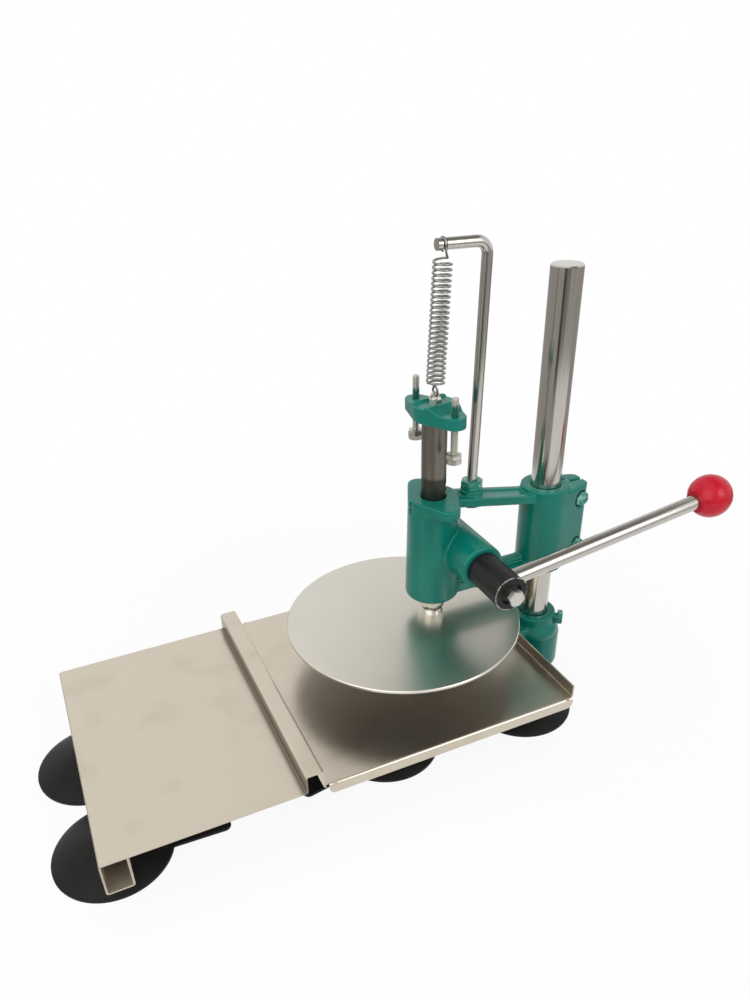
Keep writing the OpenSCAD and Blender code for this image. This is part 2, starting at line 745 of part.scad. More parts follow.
// Head casting: ram housing, pinion barrel, two arms and the split clamp
module press_head() {
    color("#1f7768") difference() {
        union() {
            translate([ram_x, 0, 0]) rotate_extrude() polygon(concat(
                [[0, head_z]],
                arc([housing_low_r - housing_round, head_z + housing_round], housing_round, -quarter, 0),
                [[housing_top_r, pad_z + hair], [0, pad_z + hair]]));
            translate([ram_x, 0, pad_z]) linear_extrude(pad_h) lozenge(pad_r, pad_end_r, pad_reach);
            translate([pinion_x, 0, pinion_z]) rotate([-quarter, 0, 0]) {
                rotate_extrude() polygon(concat(
                    [[0, gear_w], [0, -barrel_front]],
                    arc([barrel_r, -barrel_front] + barrel_round * [-1, 1], barrel_round, -quarter, 0),
                    [[barrel_r, gear_w]]));
                cylinder(r = boss_r, h = boss_back);
            }
            lower_arm();
            upper_arm();
            translate([ram_x + post_x, 0, boss_z - post_in - post_floor])
                cylinder(r = post_boss_r, h = post_in + post_floor);
            translate([col_x, 0, head_z]) cylinder(r = clamp_r, h = clamp_h);
            translate([col_x, 0, clamp_top - ear_h - 4]) linear_extrude(ear_h) clamp_ears();
        }
        translate([ram_x, 0, head_z - 1]) cylinder(r = ram_d / 2 + run_fit, h = head_h + 2);
        translate([pinion_x, 0, pinion_z]) rotate([-quarter, 0, 0]) {
            translate([0, 0, -barrel_front - 1])
                cylinder(r = pinion_tip + run_fit, h = barrel_front + 1 + gear_w / 2 + stop_gap);
            cylinder(r = journal_d / 2 + run_fit, h = boss_back + 1);
        }
        translate([col_x, 0, head_z - 1]) cylinder(r = col_d / 2 + col_fit, h = clamp_h + 2);
        translate([col_x, -ear_slot / 2, head_z - 1]) cube([ear_l + 1, ear_slot, clamp_h + 2]);
        for (z = clamp_bolt_z) translate([col_x + clamp_bolt_x, 0, z]) rotate([-quarter, 0, 0]) {
            translate([0, 0, -2 * ear_half]) cylinder(r = thread_r, h = 4 * ear_half);
            translate([0, 0, -2 * ear_half]) cylinder(d = bolt_af + 4, h = 2 * ear_half - clamp_seat);
        }
        for (z = guide_z) translate([ram_x, 0, z]) rotate([0, -quarter, 0])
            cylinder(d = guide_d + 2 * thread_gap, h = 2 * pad_r);
        translate([ram_x + post_x, 0, boss_z - post_in])
            cylinder(d = post_thread_d + 2 * thread_gap, h = post_in + 1);
    }
}

// Bolts that close the clamp on the column
module clamp_bolts() {
    color("#5f9a88") for (z = clamp_bolt_z) translate([col_x + clamp_bolt_x, -clamp_seat, z])
        rotate([-quarter, 0, 0]) hex_bolt(2 * clamp_seat);
}

// Socket screws in the side of the ram housing
module guide_screws() {
    from = ram_d / 2 + stop_gap;
    to = housing_top_r - 2;
    color("#3b3b3a") for (z = guide_z) translate([ram_x, 0, z]) rotate([0, -quarter, 0])
        difference() {
            translate([0, 0, from]) cylinder(d = guide_d, h = to - from);
            translate([0, 0, to - guide_d / 2]) hex_prism(guide_d / 2, guide_d);
        }
}

// Angle between the middle of a tooth and its flank at radius r
function involute(a) = tan(a) * 180 / PI - a;
function tooth_half(r) = let (base = pinion_pr * cos(gear_pa), a = r > base ? acos(base / r) : 0)
    (rack_pitch / 2 - backlash / 2) / (2 * pinion_pr) * 180 / PI + involute(gear_pa) - involute(a);

// Outline of the pinion, with a tooth on the side of the rack
module pinion_outline() {
    steps = 6;
    polygon([for (t = [0:pinion_n - 1]) for (side = [-1, 1]) for (k = [0:steps])
        let (u = side < 0 ? k : steps - k, r = pinion_root + (pinion_tip - pinion_root) * u / steps,
            a = 2 * quarter + 360 * t / pinion_n + side * tooth_half(r))
        r * [cos(a), sin(a)]]);
}

// Shaft with the pinion's teeth, a rear journal and a head that takes the lever
module pinion_shaft() {
    teeth_y = gear_w / 2;
    journal_l = boss_back - teeth_y + stop_gap;
    color("#2b2b2b") difference() {
        union() {
            translate([pinion_x, 0, pinion_z]) rotate([-quarter, 0, 0]) {
                translate([0, 0, shaft_face_y]) cylinder(d = shaft_head_d, h = shaft_head_l);
                translate([0, 0, shaft_face_y + 1])
                    cylinder(r = pinion_tip, h = -teeth_y - shaft_face_y - 1);
                translate([0, 0, teeth_y - hair]) cylinder(d = journal_d, h = journal_l + hair);
            }
            translate([pinion_x, 0, pinion_z]) along_y(-teeth_y - hair, teeth_y) pinion_outline();
        }
        translate([pinion_x, shaft_face_y, pinion_z]) rotate([-quarter, 0, 0]) {
            translate([0, 0, -1]) cylinder(d = shaft_recess_d, h = shaft_recess_h + 1);
            cylinder(d = 2 * thread_r, h = lever_in);
        }
        translate([pinion_x, lever_y, pinion_z]) rotate([0, quarter - lever_rest, 0])
            translate([0, 0, -lever_seat - stop_gap])
                cylinder(d = lever_d + 2 * thread_gap, h = shaft_head_d);
        translate([pinion_x, boss_back + stop_gap, pinion_z]) rotate([quarter, 0, 0])
            translate([0, 0, -1]) cylinder(d = 2 * thread_r, h = shaft_screw_l + 2);
    }
}

// Bolt in the shaft's face that locks the lever
module lever_bolt() {
    seat = shaft_face_y - lever_bolt_out;
    color("#b9b8b0") translate([pinion_x, seat, pinion_z]) rotate([-quarter, 0, 0])
        hex_bolt(lever_y - lever_d / 2 - stop_gap - seat);
}

// Washer that keeps the shaft in its bore
module shaft_washer() {
    color("#a8a89a") translate([pinion_x, boss_back + stop_gap, pinion_z]) rotate([-quarter, 0, 0])
        difference() {
            cylinder(d = shaft_washer_d, h = shaft_washer_t);
            translate([0, 0, -1]) cylinder(r = thread_r, h = shaft_washer_t + 2);
        }
}

// Screw that holds that washer
module shaft_screw() {
    color("#a8a89a") translate([pinion_x, boss_back + stop_gap + shaft_washer_t, pinion_z])
        rotate([quarter, 0, 0]) hex_bolt(shaft_screw_l);
}

// Round lever, from its seat in the shaft to its threaded end in the knob
module lever_rod() {
    shoulder = lever_l - knob_flat;
    color("#c4c1bb") translate([pinion_x, lever_y, pinion_z]) rotate([0, quarter - lever_rest, 0]) {
        translate([0, 0, -lever_seat]) cylinder(d = lever_d, h = lever_seat + shoulder);
        translate([0, 0, shoulder - hair]) cylinder(d = lever_end_d, h = knob_seat + hair);
    }
}

// Ball knob with a flat where the lever enters
module ball_knob() {
    color("#c8203a") translate([pinion_x, lever_y, pinion_z]) rotate([0, quarter - lever_rest, 0])
        translate([0, 0, lever_l]) difference() {
            sphere(d = knob_d);
            translate([0, 0, -knob_flat - knob_d]) cylinder(d = knob_d, h = knob_d);
            translate([0, 0, -knob_flat - 1])
                cylinder(d = lever_end_d + 2 * thread_gap, h = knob_seat + 1 + stop_gap);
        }
}

// Round ram with the rack on the column side and a threaded lower end
module ram() {
    teeth = [ceil(-rack_down / rack_pitch), floor(rack_up / rack_pitch)];
    half = (rack_pitch / 2 + backlash / 2) / 2;
    color("#55514c") difference() {
        union() {
            translate([ram_x, 0, ram_z]) cylinder(d = ram_d, h = yoke_z - ram_z);
            translate([ram_x, 0, disc_z + stop_gap]) cylinder(d = ram_end_d, h = ram_z - disc_z);
        }
        for (k = [teeth[0]:teeth[1]])
            translate([ram_x, 0, pinion_z + k * rack_pitch]) along_y(-ram_d, ram_d) polygon([
                [rack_root, -half - (rack_root - rack_line) * tan(gear_pa)],
                [rack_out, -half - (rack_out - rack_line) * tan(gear_pa)],
                [rack_out, half + (rack_out - rack_line) * tan(gear_pa)],
                [rack_root, half + (rack_root - rack_line) * tan(gear_pa)]]);
        translate([ram_x, 0, yoke_z - yoke_bolt_in - stop_gap])
            cylinder(d = yoke_bolt_d + 2 * thread_gap, h = yoke_bolt_in + 1);
    }
}

// Outline of the yoke
module yoke_outline() {
    lozenge(yoke_r, yoke_end_r, stop_y);
}

// Place of the yoke on the ram, at height z
module on_yoke(z) {
    translate([ram_x, 0, z]) rotate(yoke_turn) children();
}

// Cross plate on the ram, which carries the stops; its top slopes down to both ends
module yoke() {
    color("#1f7768") on_yoke(yoke_z) difference() {
        linear_extrude(yoke_mid_t) yoke_outline();
        for (turn = [0, 2 * quarter]) rotate([quarter, 0, turn + quarter])
            translate([0, 0, -2 * yoke_r]) linear_extrude(4 * yoke_r) polygon([
                [yoke_mid_l / 2, yoke_mid_t], [yoke_mid_l / 2 + yoke_slope_l, yoke_t],
                [stop_y + 2 * yoke_end_r, yoke_t], [stop_y + 2 * yoke_end_r, yoke_mid_t + 1],
                [yoke_mid_l / 2, yoke_mid_t + 1]]);
        translate([-yoke_r - 1, -yoke_slot_w / 2, yoke_mid_t - yoke_slot_h])
            cube([2 * yoke_r + 2, yoke_slot_w, yoke_slot_h + 1]);
        translate([0, 0, -1]) cylinder(d = yoke_bolt_d + 2 * thread_gap, h = yoke_mid_t + 2);
        for (y = [-stop_y, stop_y]) translate([0, y, -1])
            cylinder(d = stop_d + 2 * thread_gap, h = yoke_t + 2);
    }
}

// Bolt through the yoke, with an eye for the spring
module yoke_bolt() {
    eye_foot = yoke_seat + yoke_bolt_h - hair;
    color("#a8a89a") difference() {
        union() {
            on_yoke(yoke_seat) rotate([2 * quarter, 0, 0])
                hex_bolt(yoke_seat - yoke_z + yoke_bolt_in, yoke_bolt_h, yoke_bolt_af, yoke_bolt_d);
            translate([ram_x - eye_r, -eye_t / 2, eye_foot]) cube([2 * eye_r, eye_t, eye_z - eye_foot]);
            translate([ram_x, 0, eye_z]) rotate([quarter, 0, 0])
                cylinder(r = eye_r, h = eye_t, center = true);
        }
        translate([ram_x, 0, eye_z]) rotate([quarter, 0, 0])
            cylinder(d = eye_hole, h = 2 * eye_t, center = true);
    }
}

// Place of a stop on the yoke, at the top of its bolt's head
module on_stop(side) {
    lift = side > 0 ? stop_rear_up : 0;
    on_yoke(stop_z + stop_head_h + lift) translate([0, side * stop_y, 0]) children();
}

// Stop bolt with its head down
module stop_bolt(side) {
    color("#a8a89a") on_stop(side)
        hex_bolt(yoke_z + stop_tip - stop_z - stop_head_h, stop_head_h, stop_af, stop_d);
}

// Lock nut on a stop bolt
module stop_nut(side) {
    color("#a8a89a") on_stop(side) hex_nut(stop_af, stop_nut_h, stop_d + 2 * thread_gap);
}

// Round pressing plate
module press_disc() {
    edge = 0.6;
    color("#b9b7b0") difference() {
        translate([disc_x, 0, disc_z]) rotate_extrude($fn = 180) polygon([
            [0, 0], [disc_d / 2 - edge, 0], [disc_d / 2, edge], [disc_d / 2, disc_t - edge],
            [disc_d / 2 - edge, disc_t], [0, disc_t]]);
        translate([ram_x, 0, disc_z - 1]) cylinder(d = ram_end_d + 2 * thread_gap, h = disc_t + 2);
    }
}

// Bright ring on the disc
module disc_washer_ring() {
    color("#d8d6d0") translate([ram_x, 0, washer_z]) difference() {
        cylinder(d = disc_washer_d, h = disc_washer_t);
        translate([0, 0, -1]) cylinder(d = ram_end_d + 2 * thread_gap, h = disc_washer_t + 2);
    }
}

// Tall nut that locks the disc on the ram, tapered towards its washer
module disc_nut() {
    nut_spread = (disc_nut_af / cos(30) - disc_nut_foot) * disc_nut_h / disc_nut_taper;
    color("#d8d6d0") translate([ram_x, 0, disc_nut_z])
        intersection() {
            hex_nut(disc_nut_af, disc_nut_h, ram_end_d + 2 * thread_gap);
            cylinder(d1 = disc_nut_foot, d2 = disc_nut_foot + nut_spread, h = disc_nut_h);
        }
}

// Bent rod that holds the spring over the ram
module spring_post() {
    foot = [ram_x + post_x, 0, boss_z + post_nut_h + 1];
    groove_dx = spring_top_x - foot[0];
    groove_dz = arm_z - foot[2];
    groove_u = groove_dx * cos(post_lean) - groove_dz * sin(post_lean);
    arm_w = groove_dx * sin(post_lean) + groove_dz * cos(post_lean);
    tip_u = groove_u - groove_x - post_over;
    color("#c4c1bb") {
        translate([foot[0], 0, boss_z - post_in])
            cylinder(d = post_thread_d, h = foot[2] - boss_z + post_in + post_root);
        translate(foot) rotate([0, post_lean, 0]) difference() {
            union() {
                cylinder(d = post_d, h = arm_w - post_bend);
                translate([-post_bend, 0, arm_w - post_bend]) rotate([quarter, 0, 0])
                    rotate_extrude(angle = quarter) translate([post_bend, 0]) circle(d = post_d);
                translate([tip_u, 0, arm_w]) rotate([0, quarter, 0])
                    cylinder(d = post_d, h = -post_bend - tip_u);
            }
            translate([groove_u - wire_d, 0, arm_w]) rotate([0, quarter, 0]) difference() {
                cylinder(d = 2 * post_d, h = 2 * wire_d);
                translate([0, 0, -1]) cylinder(r = groove_r, h = 2 * wire_d + 2);
            }
        }
    }
}

// Nut that locks the post on its boss
module post_nut() {
    color("#8fb3a4") translate([ram_x + post_x, 0, boss_z])
        hex_nut(post_nut_af, post_nut_h, post_thread_d + 2 * thread_gap);
}

// Wire of the spring. A turn lies level; a hook turns about Y until it stands upright.
// The place along the spring's axis runs from 0 at the lowest turn to 1 at the highest.
function axis_x(u) = ram_x + groove_x * u;
function on_ring(centre, r, a, tilt) = centre + r * [sin(a) * cos(tilt), cos(a), sin(a) * sin(tilt)];
function ease(u) = u * u * (3 - 2 * u);
low_centre = [ram_x, 0, low_hook_z];
high_centre = [spring_top_x, 0, arm_z];
low_hook = [for (i = [0:hook_rings * 3 / 4])
    on_ring(low_centre, low_hook_r, -450 + 360 * i / hook_rings, -quarter)];
low_join = [for (i = [1:turn_rings - 1]) let (u = i / turn_rings, e = ease(u))
    on_ring(low_centre + e * [0, 0, coil_z0 - low_hook_z], low_hook_r + e * (coil_r - low_hook_r),
        -180 + 180 * u, quarter * (e - 1))];
turns = [for (i = [0:spring_turns * turn_rings]) let (u = i / (spring_turns * turn_rings))
    on_ring([axis_x(u), 0, coil_z0 + u * (coil_z1 - coil_z0)], coil_r, 360 * i / turn_rings, 0)];
high_join = [for (i = [1:turn_rings - 1]) let (u = i / turn_rings, e = ease(u))
    on_ring([spring_top_x, 0, coil_z1 + e * (arm_z - coil_z1)], coil_r + e * (high_hook_r - coil_r),
        180 * u, -quarter * e)];
high_hook = [for (i = [0:hook_rings * 3 / 4])
    on_ring(high_centre, high_hook_r, 180 + 360 * i / hook_rings, -quarter)];
wire_path = concat(low_hook, low_join, turns, high_join, high_hook);

// Least gap of the wire to itself, measured on its points at least a third of a turn apart
self_gap = min([for (i = [0:len(wire_path) - 1]) for (j = [i + 5:1:len(wire_path) - 1])
    norm(wire_path[i] - wire_path[j])]) - wire_d;
echo(spring_self_gap = self_gap);

// A tube along a path, as one closed mesh of triangles
function unit(v) = v / norm(v);
function heading(p, i) = unit(p[min(i + 1, len(p) - 1)] - p[max(i - 1, 0)]);
function frame_up(p, i, last) = let (t = heading(p, i), v = last - (last * t) * t) unit(v);
function frames(p, i = 0, last = [1, 0, 0.2], done = []) =
    i == len(p) ? done : let (f = frame_up(p, i, last)) frames(p, i + 1, f, concat(done, [f]));
module tube(path, r, sides) {
    ups = frames(path);
    n = len(path);
    points = [for (i = [0:n - 1]) let (t = heading(path, i), s = cross(t, ups[i]))
        for (k = [0:sides - 1]) path[i] + r * (cos(360 * k / sides) * ups[i] + sin(360 * k / sides) * s)];
    walls = [for (i = [0:n - 2]) for (k = [0:sides - 1])
        let (a = i * sides + k, b = i * sides + (k + 1) % sides)
        each [[a, a + sides, b], [b, a + sides, b + sides]]];
    ends = [for (k = [1:sides - 2]) each [[0, k, k + 1],
        [(n - 1) * sides, (n - 1) * sides + k + 1, (n - 1) * sides + k]]];
    polyhedron(points, concat(walls, ends));
}

// Extension spring that lifts the ram
module return_spring() {
    color("#b9b8b4") tube(wire_path, wire_r, ring_sides);
}

base_sheet();
cast_base();
tray_screws();
suction_cup(0);  // suction_cup_front_left
suction_cup(1);  // suction_cup_back_left
suction_cup(2);  // suction_cup_front_middle
suction_cup(3);  // suction_cup_back_middle
suction_cup(4);  // suction_cup_front_right
suction_cup(5);  // suction_cup_back_right
cup_studs();
cup_nuts();
column();
foot_set_screw();
press_head();
clamp_bolts();
guide_screws();
pinion_shaft();
lever_bolt();
shaft_washer();
shaft_screw();
lever_rod();
ball_knob();
ram();
yoke();
yoke_bolt();
stop_bolt(-1);  // stop_bolt_front
stop_bolt(1);  // stop_bolt_rear
stop_nut(-1);  // stop_nut_front
stop_nut(1);  // stop_nut_rear
press_disc();
disc_washer_ring();
disc_nut();
spring_post();
post_nut();
return_spring();
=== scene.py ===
"""Looks of a bench dough press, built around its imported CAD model."""

import math

import bpy
import numpy as np
from mathutils import Matrix, Vector


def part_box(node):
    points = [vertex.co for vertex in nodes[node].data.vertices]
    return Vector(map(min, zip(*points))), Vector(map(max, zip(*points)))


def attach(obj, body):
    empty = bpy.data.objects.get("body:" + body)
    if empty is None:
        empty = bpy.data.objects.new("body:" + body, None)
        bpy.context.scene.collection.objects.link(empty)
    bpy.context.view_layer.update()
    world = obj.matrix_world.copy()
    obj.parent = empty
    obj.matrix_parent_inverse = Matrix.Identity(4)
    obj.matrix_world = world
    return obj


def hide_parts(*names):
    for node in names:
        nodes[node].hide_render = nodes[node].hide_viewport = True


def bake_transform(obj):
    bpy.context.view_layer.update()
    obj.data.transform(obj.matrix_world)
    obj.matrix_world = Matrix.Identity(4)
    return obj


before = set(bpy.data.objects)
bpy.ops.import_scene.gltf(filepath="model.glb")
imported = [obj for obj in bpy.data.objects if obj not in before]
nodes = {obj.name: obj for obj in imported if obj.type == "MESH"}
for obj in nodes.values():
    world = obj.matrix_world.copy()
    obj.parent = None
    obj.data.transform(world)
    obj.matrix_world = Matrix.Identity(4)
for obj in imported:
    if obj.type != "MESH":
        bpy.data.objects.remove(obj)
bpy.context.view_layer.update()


# Base sheet: one 1.5 mm stainless sheet, cut flat and folded in a brake into a box leg, a rolling table,
# a raised bead and the press tray with its flanges and lip. It is dull rolled, and has been handled.
mm = 0.001


def linear(code):
    """An sRGB hex colour as linear RGBA."""
    parts = [int(code[i:i + 2], 16) / 255 for i in (1, 3, 5)]
    return [c / 12.92 if c <= 0.04045 else ((c + 0.055) / 1.055) ** 2.4 for c in parts] + [1]


def add(tree, kind, inputs=None, **settings):
    """Adds one node with its settings; an input is a value or another node's output."""
    node = tree.nodes.new(kind)
    for name, value in settings.items():
        setattr(node, name, value)
    for socket, value in (inputs or {}).items():
        if isinstance(value, bpy.types.NodeSocket):
            tree.links.new(value, node.inputs[socket])
        else:
            node.inputs[socket].default_value = value
    return node


def new_material(name, metallic, roughness):
    """A material with its node tree, its shader and the piece's own coordinates in metres."""
    material = bpy.data.materials.new(name)
    material.use_nodes = True
    tree = material.node_tree
    shader = tree.nodes["Principled BSDF"]
    shader.inputs["Metallic"].default_value = metallic
    shader.inputs["Roughness"].default_value = roughness
    place = add(tree, "ShaderNodeTexCoord").outputs["Object"]
    return material, tree, shader, place


def dress(name, material):
    """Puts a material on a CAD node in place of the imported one."""
    mesh = nodes[name].data
    mesh.materials.clear()
    mesh.materials.append(material)


# Dull rolled stainless: a soft, warm mirror with fine lines along the sheet, and a few faint stains
# where it was handled. Painted shade darkens the foot of the bead, and the box leg shows the matt side.
stainless, tree, shader, place = new_material("rolled_stainless", 1, 0.3)
along = add(tree, "ShaderNodeMapping", {"Vector": place, "Scale": (1, 90, 90)})
lines = add(tree, "ShaderNodeTexNoise", {"Vector": along.outputs[0], "Scale": 1 / (45 * mm), "Detail": 3})
stains = add(tree, "ShaderNodeTexNoise", {"Vector": place, "Scale": 1 / (55 * mm), "Detail": 6})
handled = add(tree, "ShaderNodeMapRange", {"Value": stains.outputs[0], "From Min": 0.52, "From Max": 0.8})
tone = add(tree, "ShaderNodeMix", {0: handled.outputs[0], 6: linear("#D0C6B6"), 7: linear("#C2B8A7")},
           data_type="RGBA")
at = add(tree, "ShaderNodeSeparateXYZ", {0: place})
bead_x, bead_wall, table_z, leg_x = -120.727 * mm, 16 * mm, 60 * mm, -248 * mm
from_bead = add(tree, "ShaderNodeMath", {0: at.outputs["X"], 1: bead_x}, operation="SUBTRACT")
off_bead = add(tree, "ShaderNodeMath", {0: from_bead.outputs[0]}, operation="ABSOLUTE")
# Painted shade: the sheet is darkened in the crease along the foot of the bead.
foot_shade = add(tree, "ShaderNodeMapRange", {"Value": off_bead.outputs[0], "From Min": 5 * mm,
                                         "From Max": 1 * mm, "To Max": 0.8})
lower = add(tree, "ShaderNodeMapRange", {"Value": at.outputs["Z"], "From Min": table_z + bead_wall,
                                         "From Max": table_z + bead_wall - 2 * mm})
painted_foot_shade = add(tree, "ShaderNodeMath", {0: foot_shade.outputs[0], 1: lower.outputs[0]}, operation="MULTIPLY")
tone = add(tree, "ShaderNodeMix", {0: painted_foot_shade.outputs[0], 6: tone.outputs[2], 7: linear("#6A6255")},
           data_type="RGBA")
gloss = add(tree, "ShaderNodeMapRange", {"Value": lines.outputs[0], "To Min": 0.25, "To Max": 0.34})
in_leg = add(tree, "ShaderNodeMapRange", {"Value": at.outputs["X"], "From Min": leg_x,
                                          "From Max": leg_x - 2 * mm})
below = add(tree, "ShaderNodeMapRange", {"Value": at.outputs["Z"], "From Min": table_z - 1 * mm,
                                         "From Max": table_z - 1.5 * mm})
matt = add(tree, "ShaderNodeMath", {0: in_leg.outputs[0], 1: below.outputs[0]}, operation="MULTIPLY")
gloss = add(tree, "ShaderNodeMix", {0: matt.outputs[0], 2: gloss.outputs[0], 3: 0.6})
grain = add(tree, "ShaderNodeBump", {"Height": lines.outputs[0], "Strength": 0.05, "Distance": 0.05 * mm})
tree.links.new(tone.outputs[2], shader.inputs["Base Color"])
tree.links.new(gloss.outputs[0], shader.inputs["Roughness"])
tree.links.new(grain.outputs[0], shader.inputs["Normal"])
dress("base_sheet", stainless)


# Foot casting: grey iron, cast in sand, with a plate under the tray, bosses for the cups and a collar
# for the column. It is sprayed with green enamel, so its edges are round and its skin slightly wavy.
def skin(name, node, body, voxel, rounds, bores):
    """A copy of a casting's surface, rebuilt in small squares and eased, so that it has cast radii.
    A bore, as its axis, a point on it and its radius, stays open to its size."""
    piece = bpy.data.objects.new(name, nodes[node].data.copy())
    bpy.context.scene.collection.objects.link(piece)
    remesh = piece.modifiers.new("squares", "REMESH")
    remesh.mode = "VOXEL"
    remesh.voxel_size = voxel
    ease = piece.modifiers.new("ease", "SMOOTH")
    ease.factor = 0.5
    ease.iterations = rounds
    bpy.context.view_layer.update()
    eased = piece.evaluated_get(bpy.context.evaluated_depsgraph_get())
    mesh = bpy.data.meshes.new_from_object(eased)
    piece.modifiers.clear()
    piece.data = mesh
    co = np.empty(len(mesh.vertices) * 3, np.float32)
    mesh.vertices.foreach_get("co", co)
    co = co.reshape(-1, 3)
    for axis, point, radius in bores:
        out = co - np.array(point)
        out = out - np.outer(out @ np.array(axis), axis)
        far = np.linalg.norm(out, axis=1)
        inside = (far < radius) & (far > 0.5 * radius)
        co[inside] += out[inside] * (radius / far[inside] - 1)[:, None]
    mesh.vertices.foreach_set("co", co.ravel())
    mesh.polygons.foreach_set("use_smooth", [True] * len(mesh.polygons))
    mesh.materials.clear()
    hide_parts(node)
    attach(piece, body)
    return piece


# Enamel: a thick glossy coat over cast iron. It has a fine orange peel, soft lumps of the sand mould
# under it, a lighter and darker cloud where the spray lay thick or thin, and a painted highlight on its
# edges.
enamel, tree, shader, place = new_material("green_enamel", 0, 0.28)
cloud = add(tree, "ShaderNodeTexNoise", {"Vector": place, "Scale": 1 / (26 * mm), "Detail": 3})
tone = add(tree, "ShaderNodeMix", {0: cloud.outputs[0], 6: linear("#036A5D"), 7: linear("#098373")},
           data_type="RGBA")
shape = add(tree, "ShaderNodeNewGeometry")
# Painted highlight: sharp convex edges are made paler, as where light catches them.
painted_edge_highlight = add(tree, "ShaderNodeMapRange", {"Value": shape.outputs["Pointiness"], "From Min": 0.53,
                                        "From Max": 0.6})
worn = add(tree, "ShaderNodeMix", {0: painted_edge_highlight.outputs[0], 6: tone.outputs[2], 7: linear("#3FAE98")},
           data_type="RGBA")
peel = add(tree, "ShaderNodeTexNoise", {"Vector": place, "Scale": 1 / (1.6 * mm), "Detail": 2})
lumps = add(tree, "ShaderNodeTexNoise", {"Vector": place, "Scale": 1 / (9 * mm), "Detail": 2})
fine = add(tree, "ShaderNodeBump", {"Height": peel.outputs[0], "Strength": 0.12, "Distance": 0.15 * mm})
wavy = add(tree, "ShaderNodeBump", {"Height": lumps.outputs[0], "Strength": 0.3, "Distance": 0.6 * mm,
                                    "Normal": fine.outputs[0]})
tree.links.new(worn.outputs[2], shader.inputs["Base Color"])
tree.links.new(wavy.outputs[0], shader.inputs["Normal"])
shader.inputs["Specular IOR Level"].default_value = 0.25
shader.inputs["Coat Weight"].default_value = 0.1
shader.inputs["Coat Roughness"].default_value = 0.12

column_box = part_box("column")
column_x = (column_box[0].x + column_box[1].x) / 2
column_r = (column_box[1].x - column_box[0].x) / 2
up = (0, 0, 1)
foot_slack = 0.1 * mm
foot = skin("foot_casting", "cast_base", "base", voxel=1.1 * mm, rounds=6,
            bores=[(up, (column_x, 0, 0), column_r + foot_slack)])
foot.data.materials.append(enamel)


# Suction cups: moulded black rubber bells with a flat rim, a pull tab with grip bars to let the air in,
# and a threaded stud moulded into the neck.
def circle(radius, height, count):
    """A ring of points round the z axis."""
    turn = np.linspace(0, 2 * np.pi, count, endpoint=False)
    return np.stack([radius * np.cos(turn), radius * np.sin(turn), np.full(count, float(height))], 1)


def loft(name, parts, material, sharp=35):
    """One mesh from strips of rings. A joined strip runs back into its first ring; any other is capped."""
    points, faces = [], []
    for rings, joined in parts:
        start, count, around = len(points), len(rings), len(rings[0])
        for ring in rings:
            points.extend(ring.tolist())
        for k in range(count if joined else count - 1):
            low = start + k * around
            high = start + (k + 1) % count * around
            for i in range(around):
                j = (i + 1) % around
                faces.append((low + i, low + j, high + j, high + i))
        if not joined:
            faces.append(tuple(range(start + around - 1, start - 1, -1)))
            faces.append(tuple(range(start + (count - 1) * around, start + count * around)))
    mesh = bpy.data.meshes.new(name)
    mesh.from_pydata(points, [], faces)
    mesh.validate()
    mesh.polygons.foreach_set("use_smooth", [True] * len(mesh.polygons))
    mesh.set_sharp_from_angle(angle=math.radians(sharp))
    mesh.materials.append(material)
    piece = bpy.data.objects.new(name, mesh)
    bpy.context.scene.collection.objects.link(piece)
    return piece


def put(parts, where):
    """The strips moved by a matrix, from millimetres to metres."""
    turn = np.array(where.to_3x3())
    shift = np.array(where.translation)
    return [([ring @ turn.T * mm + shift for ring in rings], joined) for rings, joined in parts]


def settle(piece, node, body):
    """The piece stands for a CAD node, which it hides, and moves with its body."""
    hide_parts(node)
    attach(piece, body)


# Moulded rubber: almost black, with a soft sheen and a grey bloom where it has dried.
rubber, tree, shader, place = new_material("moulded_rubber", 0, 0.45)
bloom = add(tree, "ShaderNodeTexNoise", {"Vector": place, "Scale": 1 / (14 * mm), "Detail": 5})
dry = add(tree, "ShaderNodeMapRange", {"Value": bloom.outputs[0], "From Min": 0.4, "From Max": 0.7})
tone = add(tree, "ShaderNodeMix", {0: dry.outputs[0], 6: linear("#0B0B0B"), 7: linear("#141413")},
           data_type="RGBA")
sheen = add(tree, "ShaderNodeMapRange", {"Value": bloom.outputs[0], "To Min": 0.38, "To Max": 0.55})
pores = add(tree, "ShaderNodeTexNoise", {"Vector": place, "Scale": 1 / (0.9 * mm), "Detail": 2})
bump = add(tree, "ShaderNodeBump", {"Height": pores.outputs[0], "Strength": 0.1, "Distance": 0.1 * mm})
tree.links.new(tone.outputs[2], shader.inputs["Base Color"])
tree.links.new(sheen.outputs[0], shader.inputs["Roughness"])
tree.links.new(bump.outputs[0], shader.inputs["Normal"])
shader.inputs["Specular IOR Level"].default_value = 0.2

cup_rim, cup_neck, cup_height, rim_thick, rim_round = 50.5, 15, 27, 3.5, 0.9
neck_height, neck_round, ring_inside, hollow = 6, 0.8, 45.5, 3.5
cap_r, hollow_mid, dome_steps, cup_around = 0.4, 32, 24, 96
side = [(cap_r, hollow - 0.1), (cup_neck, hollow - 0.1), (hollow_mid, 0.6 * hollow), (ring_inside, 0.05),
        (ring_inside + 0.7, 0), (cup_rim - rim_round, 0), (cup_rim - 0.2, 0.35), (cup_rim, 1),
        (cup_rim, rim_thick - rim_round), (cup_rim - 0.3, rim_thick - 0.2),
        (cup_rim - rim_round, rim_thick + 0.1)]
for u in np.linspace(0.04, 1, dome_steps):
    drawn_in = 0.35 * (1 - math.cos(u * math.pi / 2)) + 0.65 * u
    side.append((cup_rim + (cup_neck - cup_rim) * drawn_in,
                 rim_thick + (cup_height - neck_height - rim_thick) * u))
side += [(cup_neck, cup_height - neck_round), (cup_neck - neck_round, cup_height), (cap_r, cup_height)]
bell = ([circle(r, z, cup_around) for r, z in side], False)

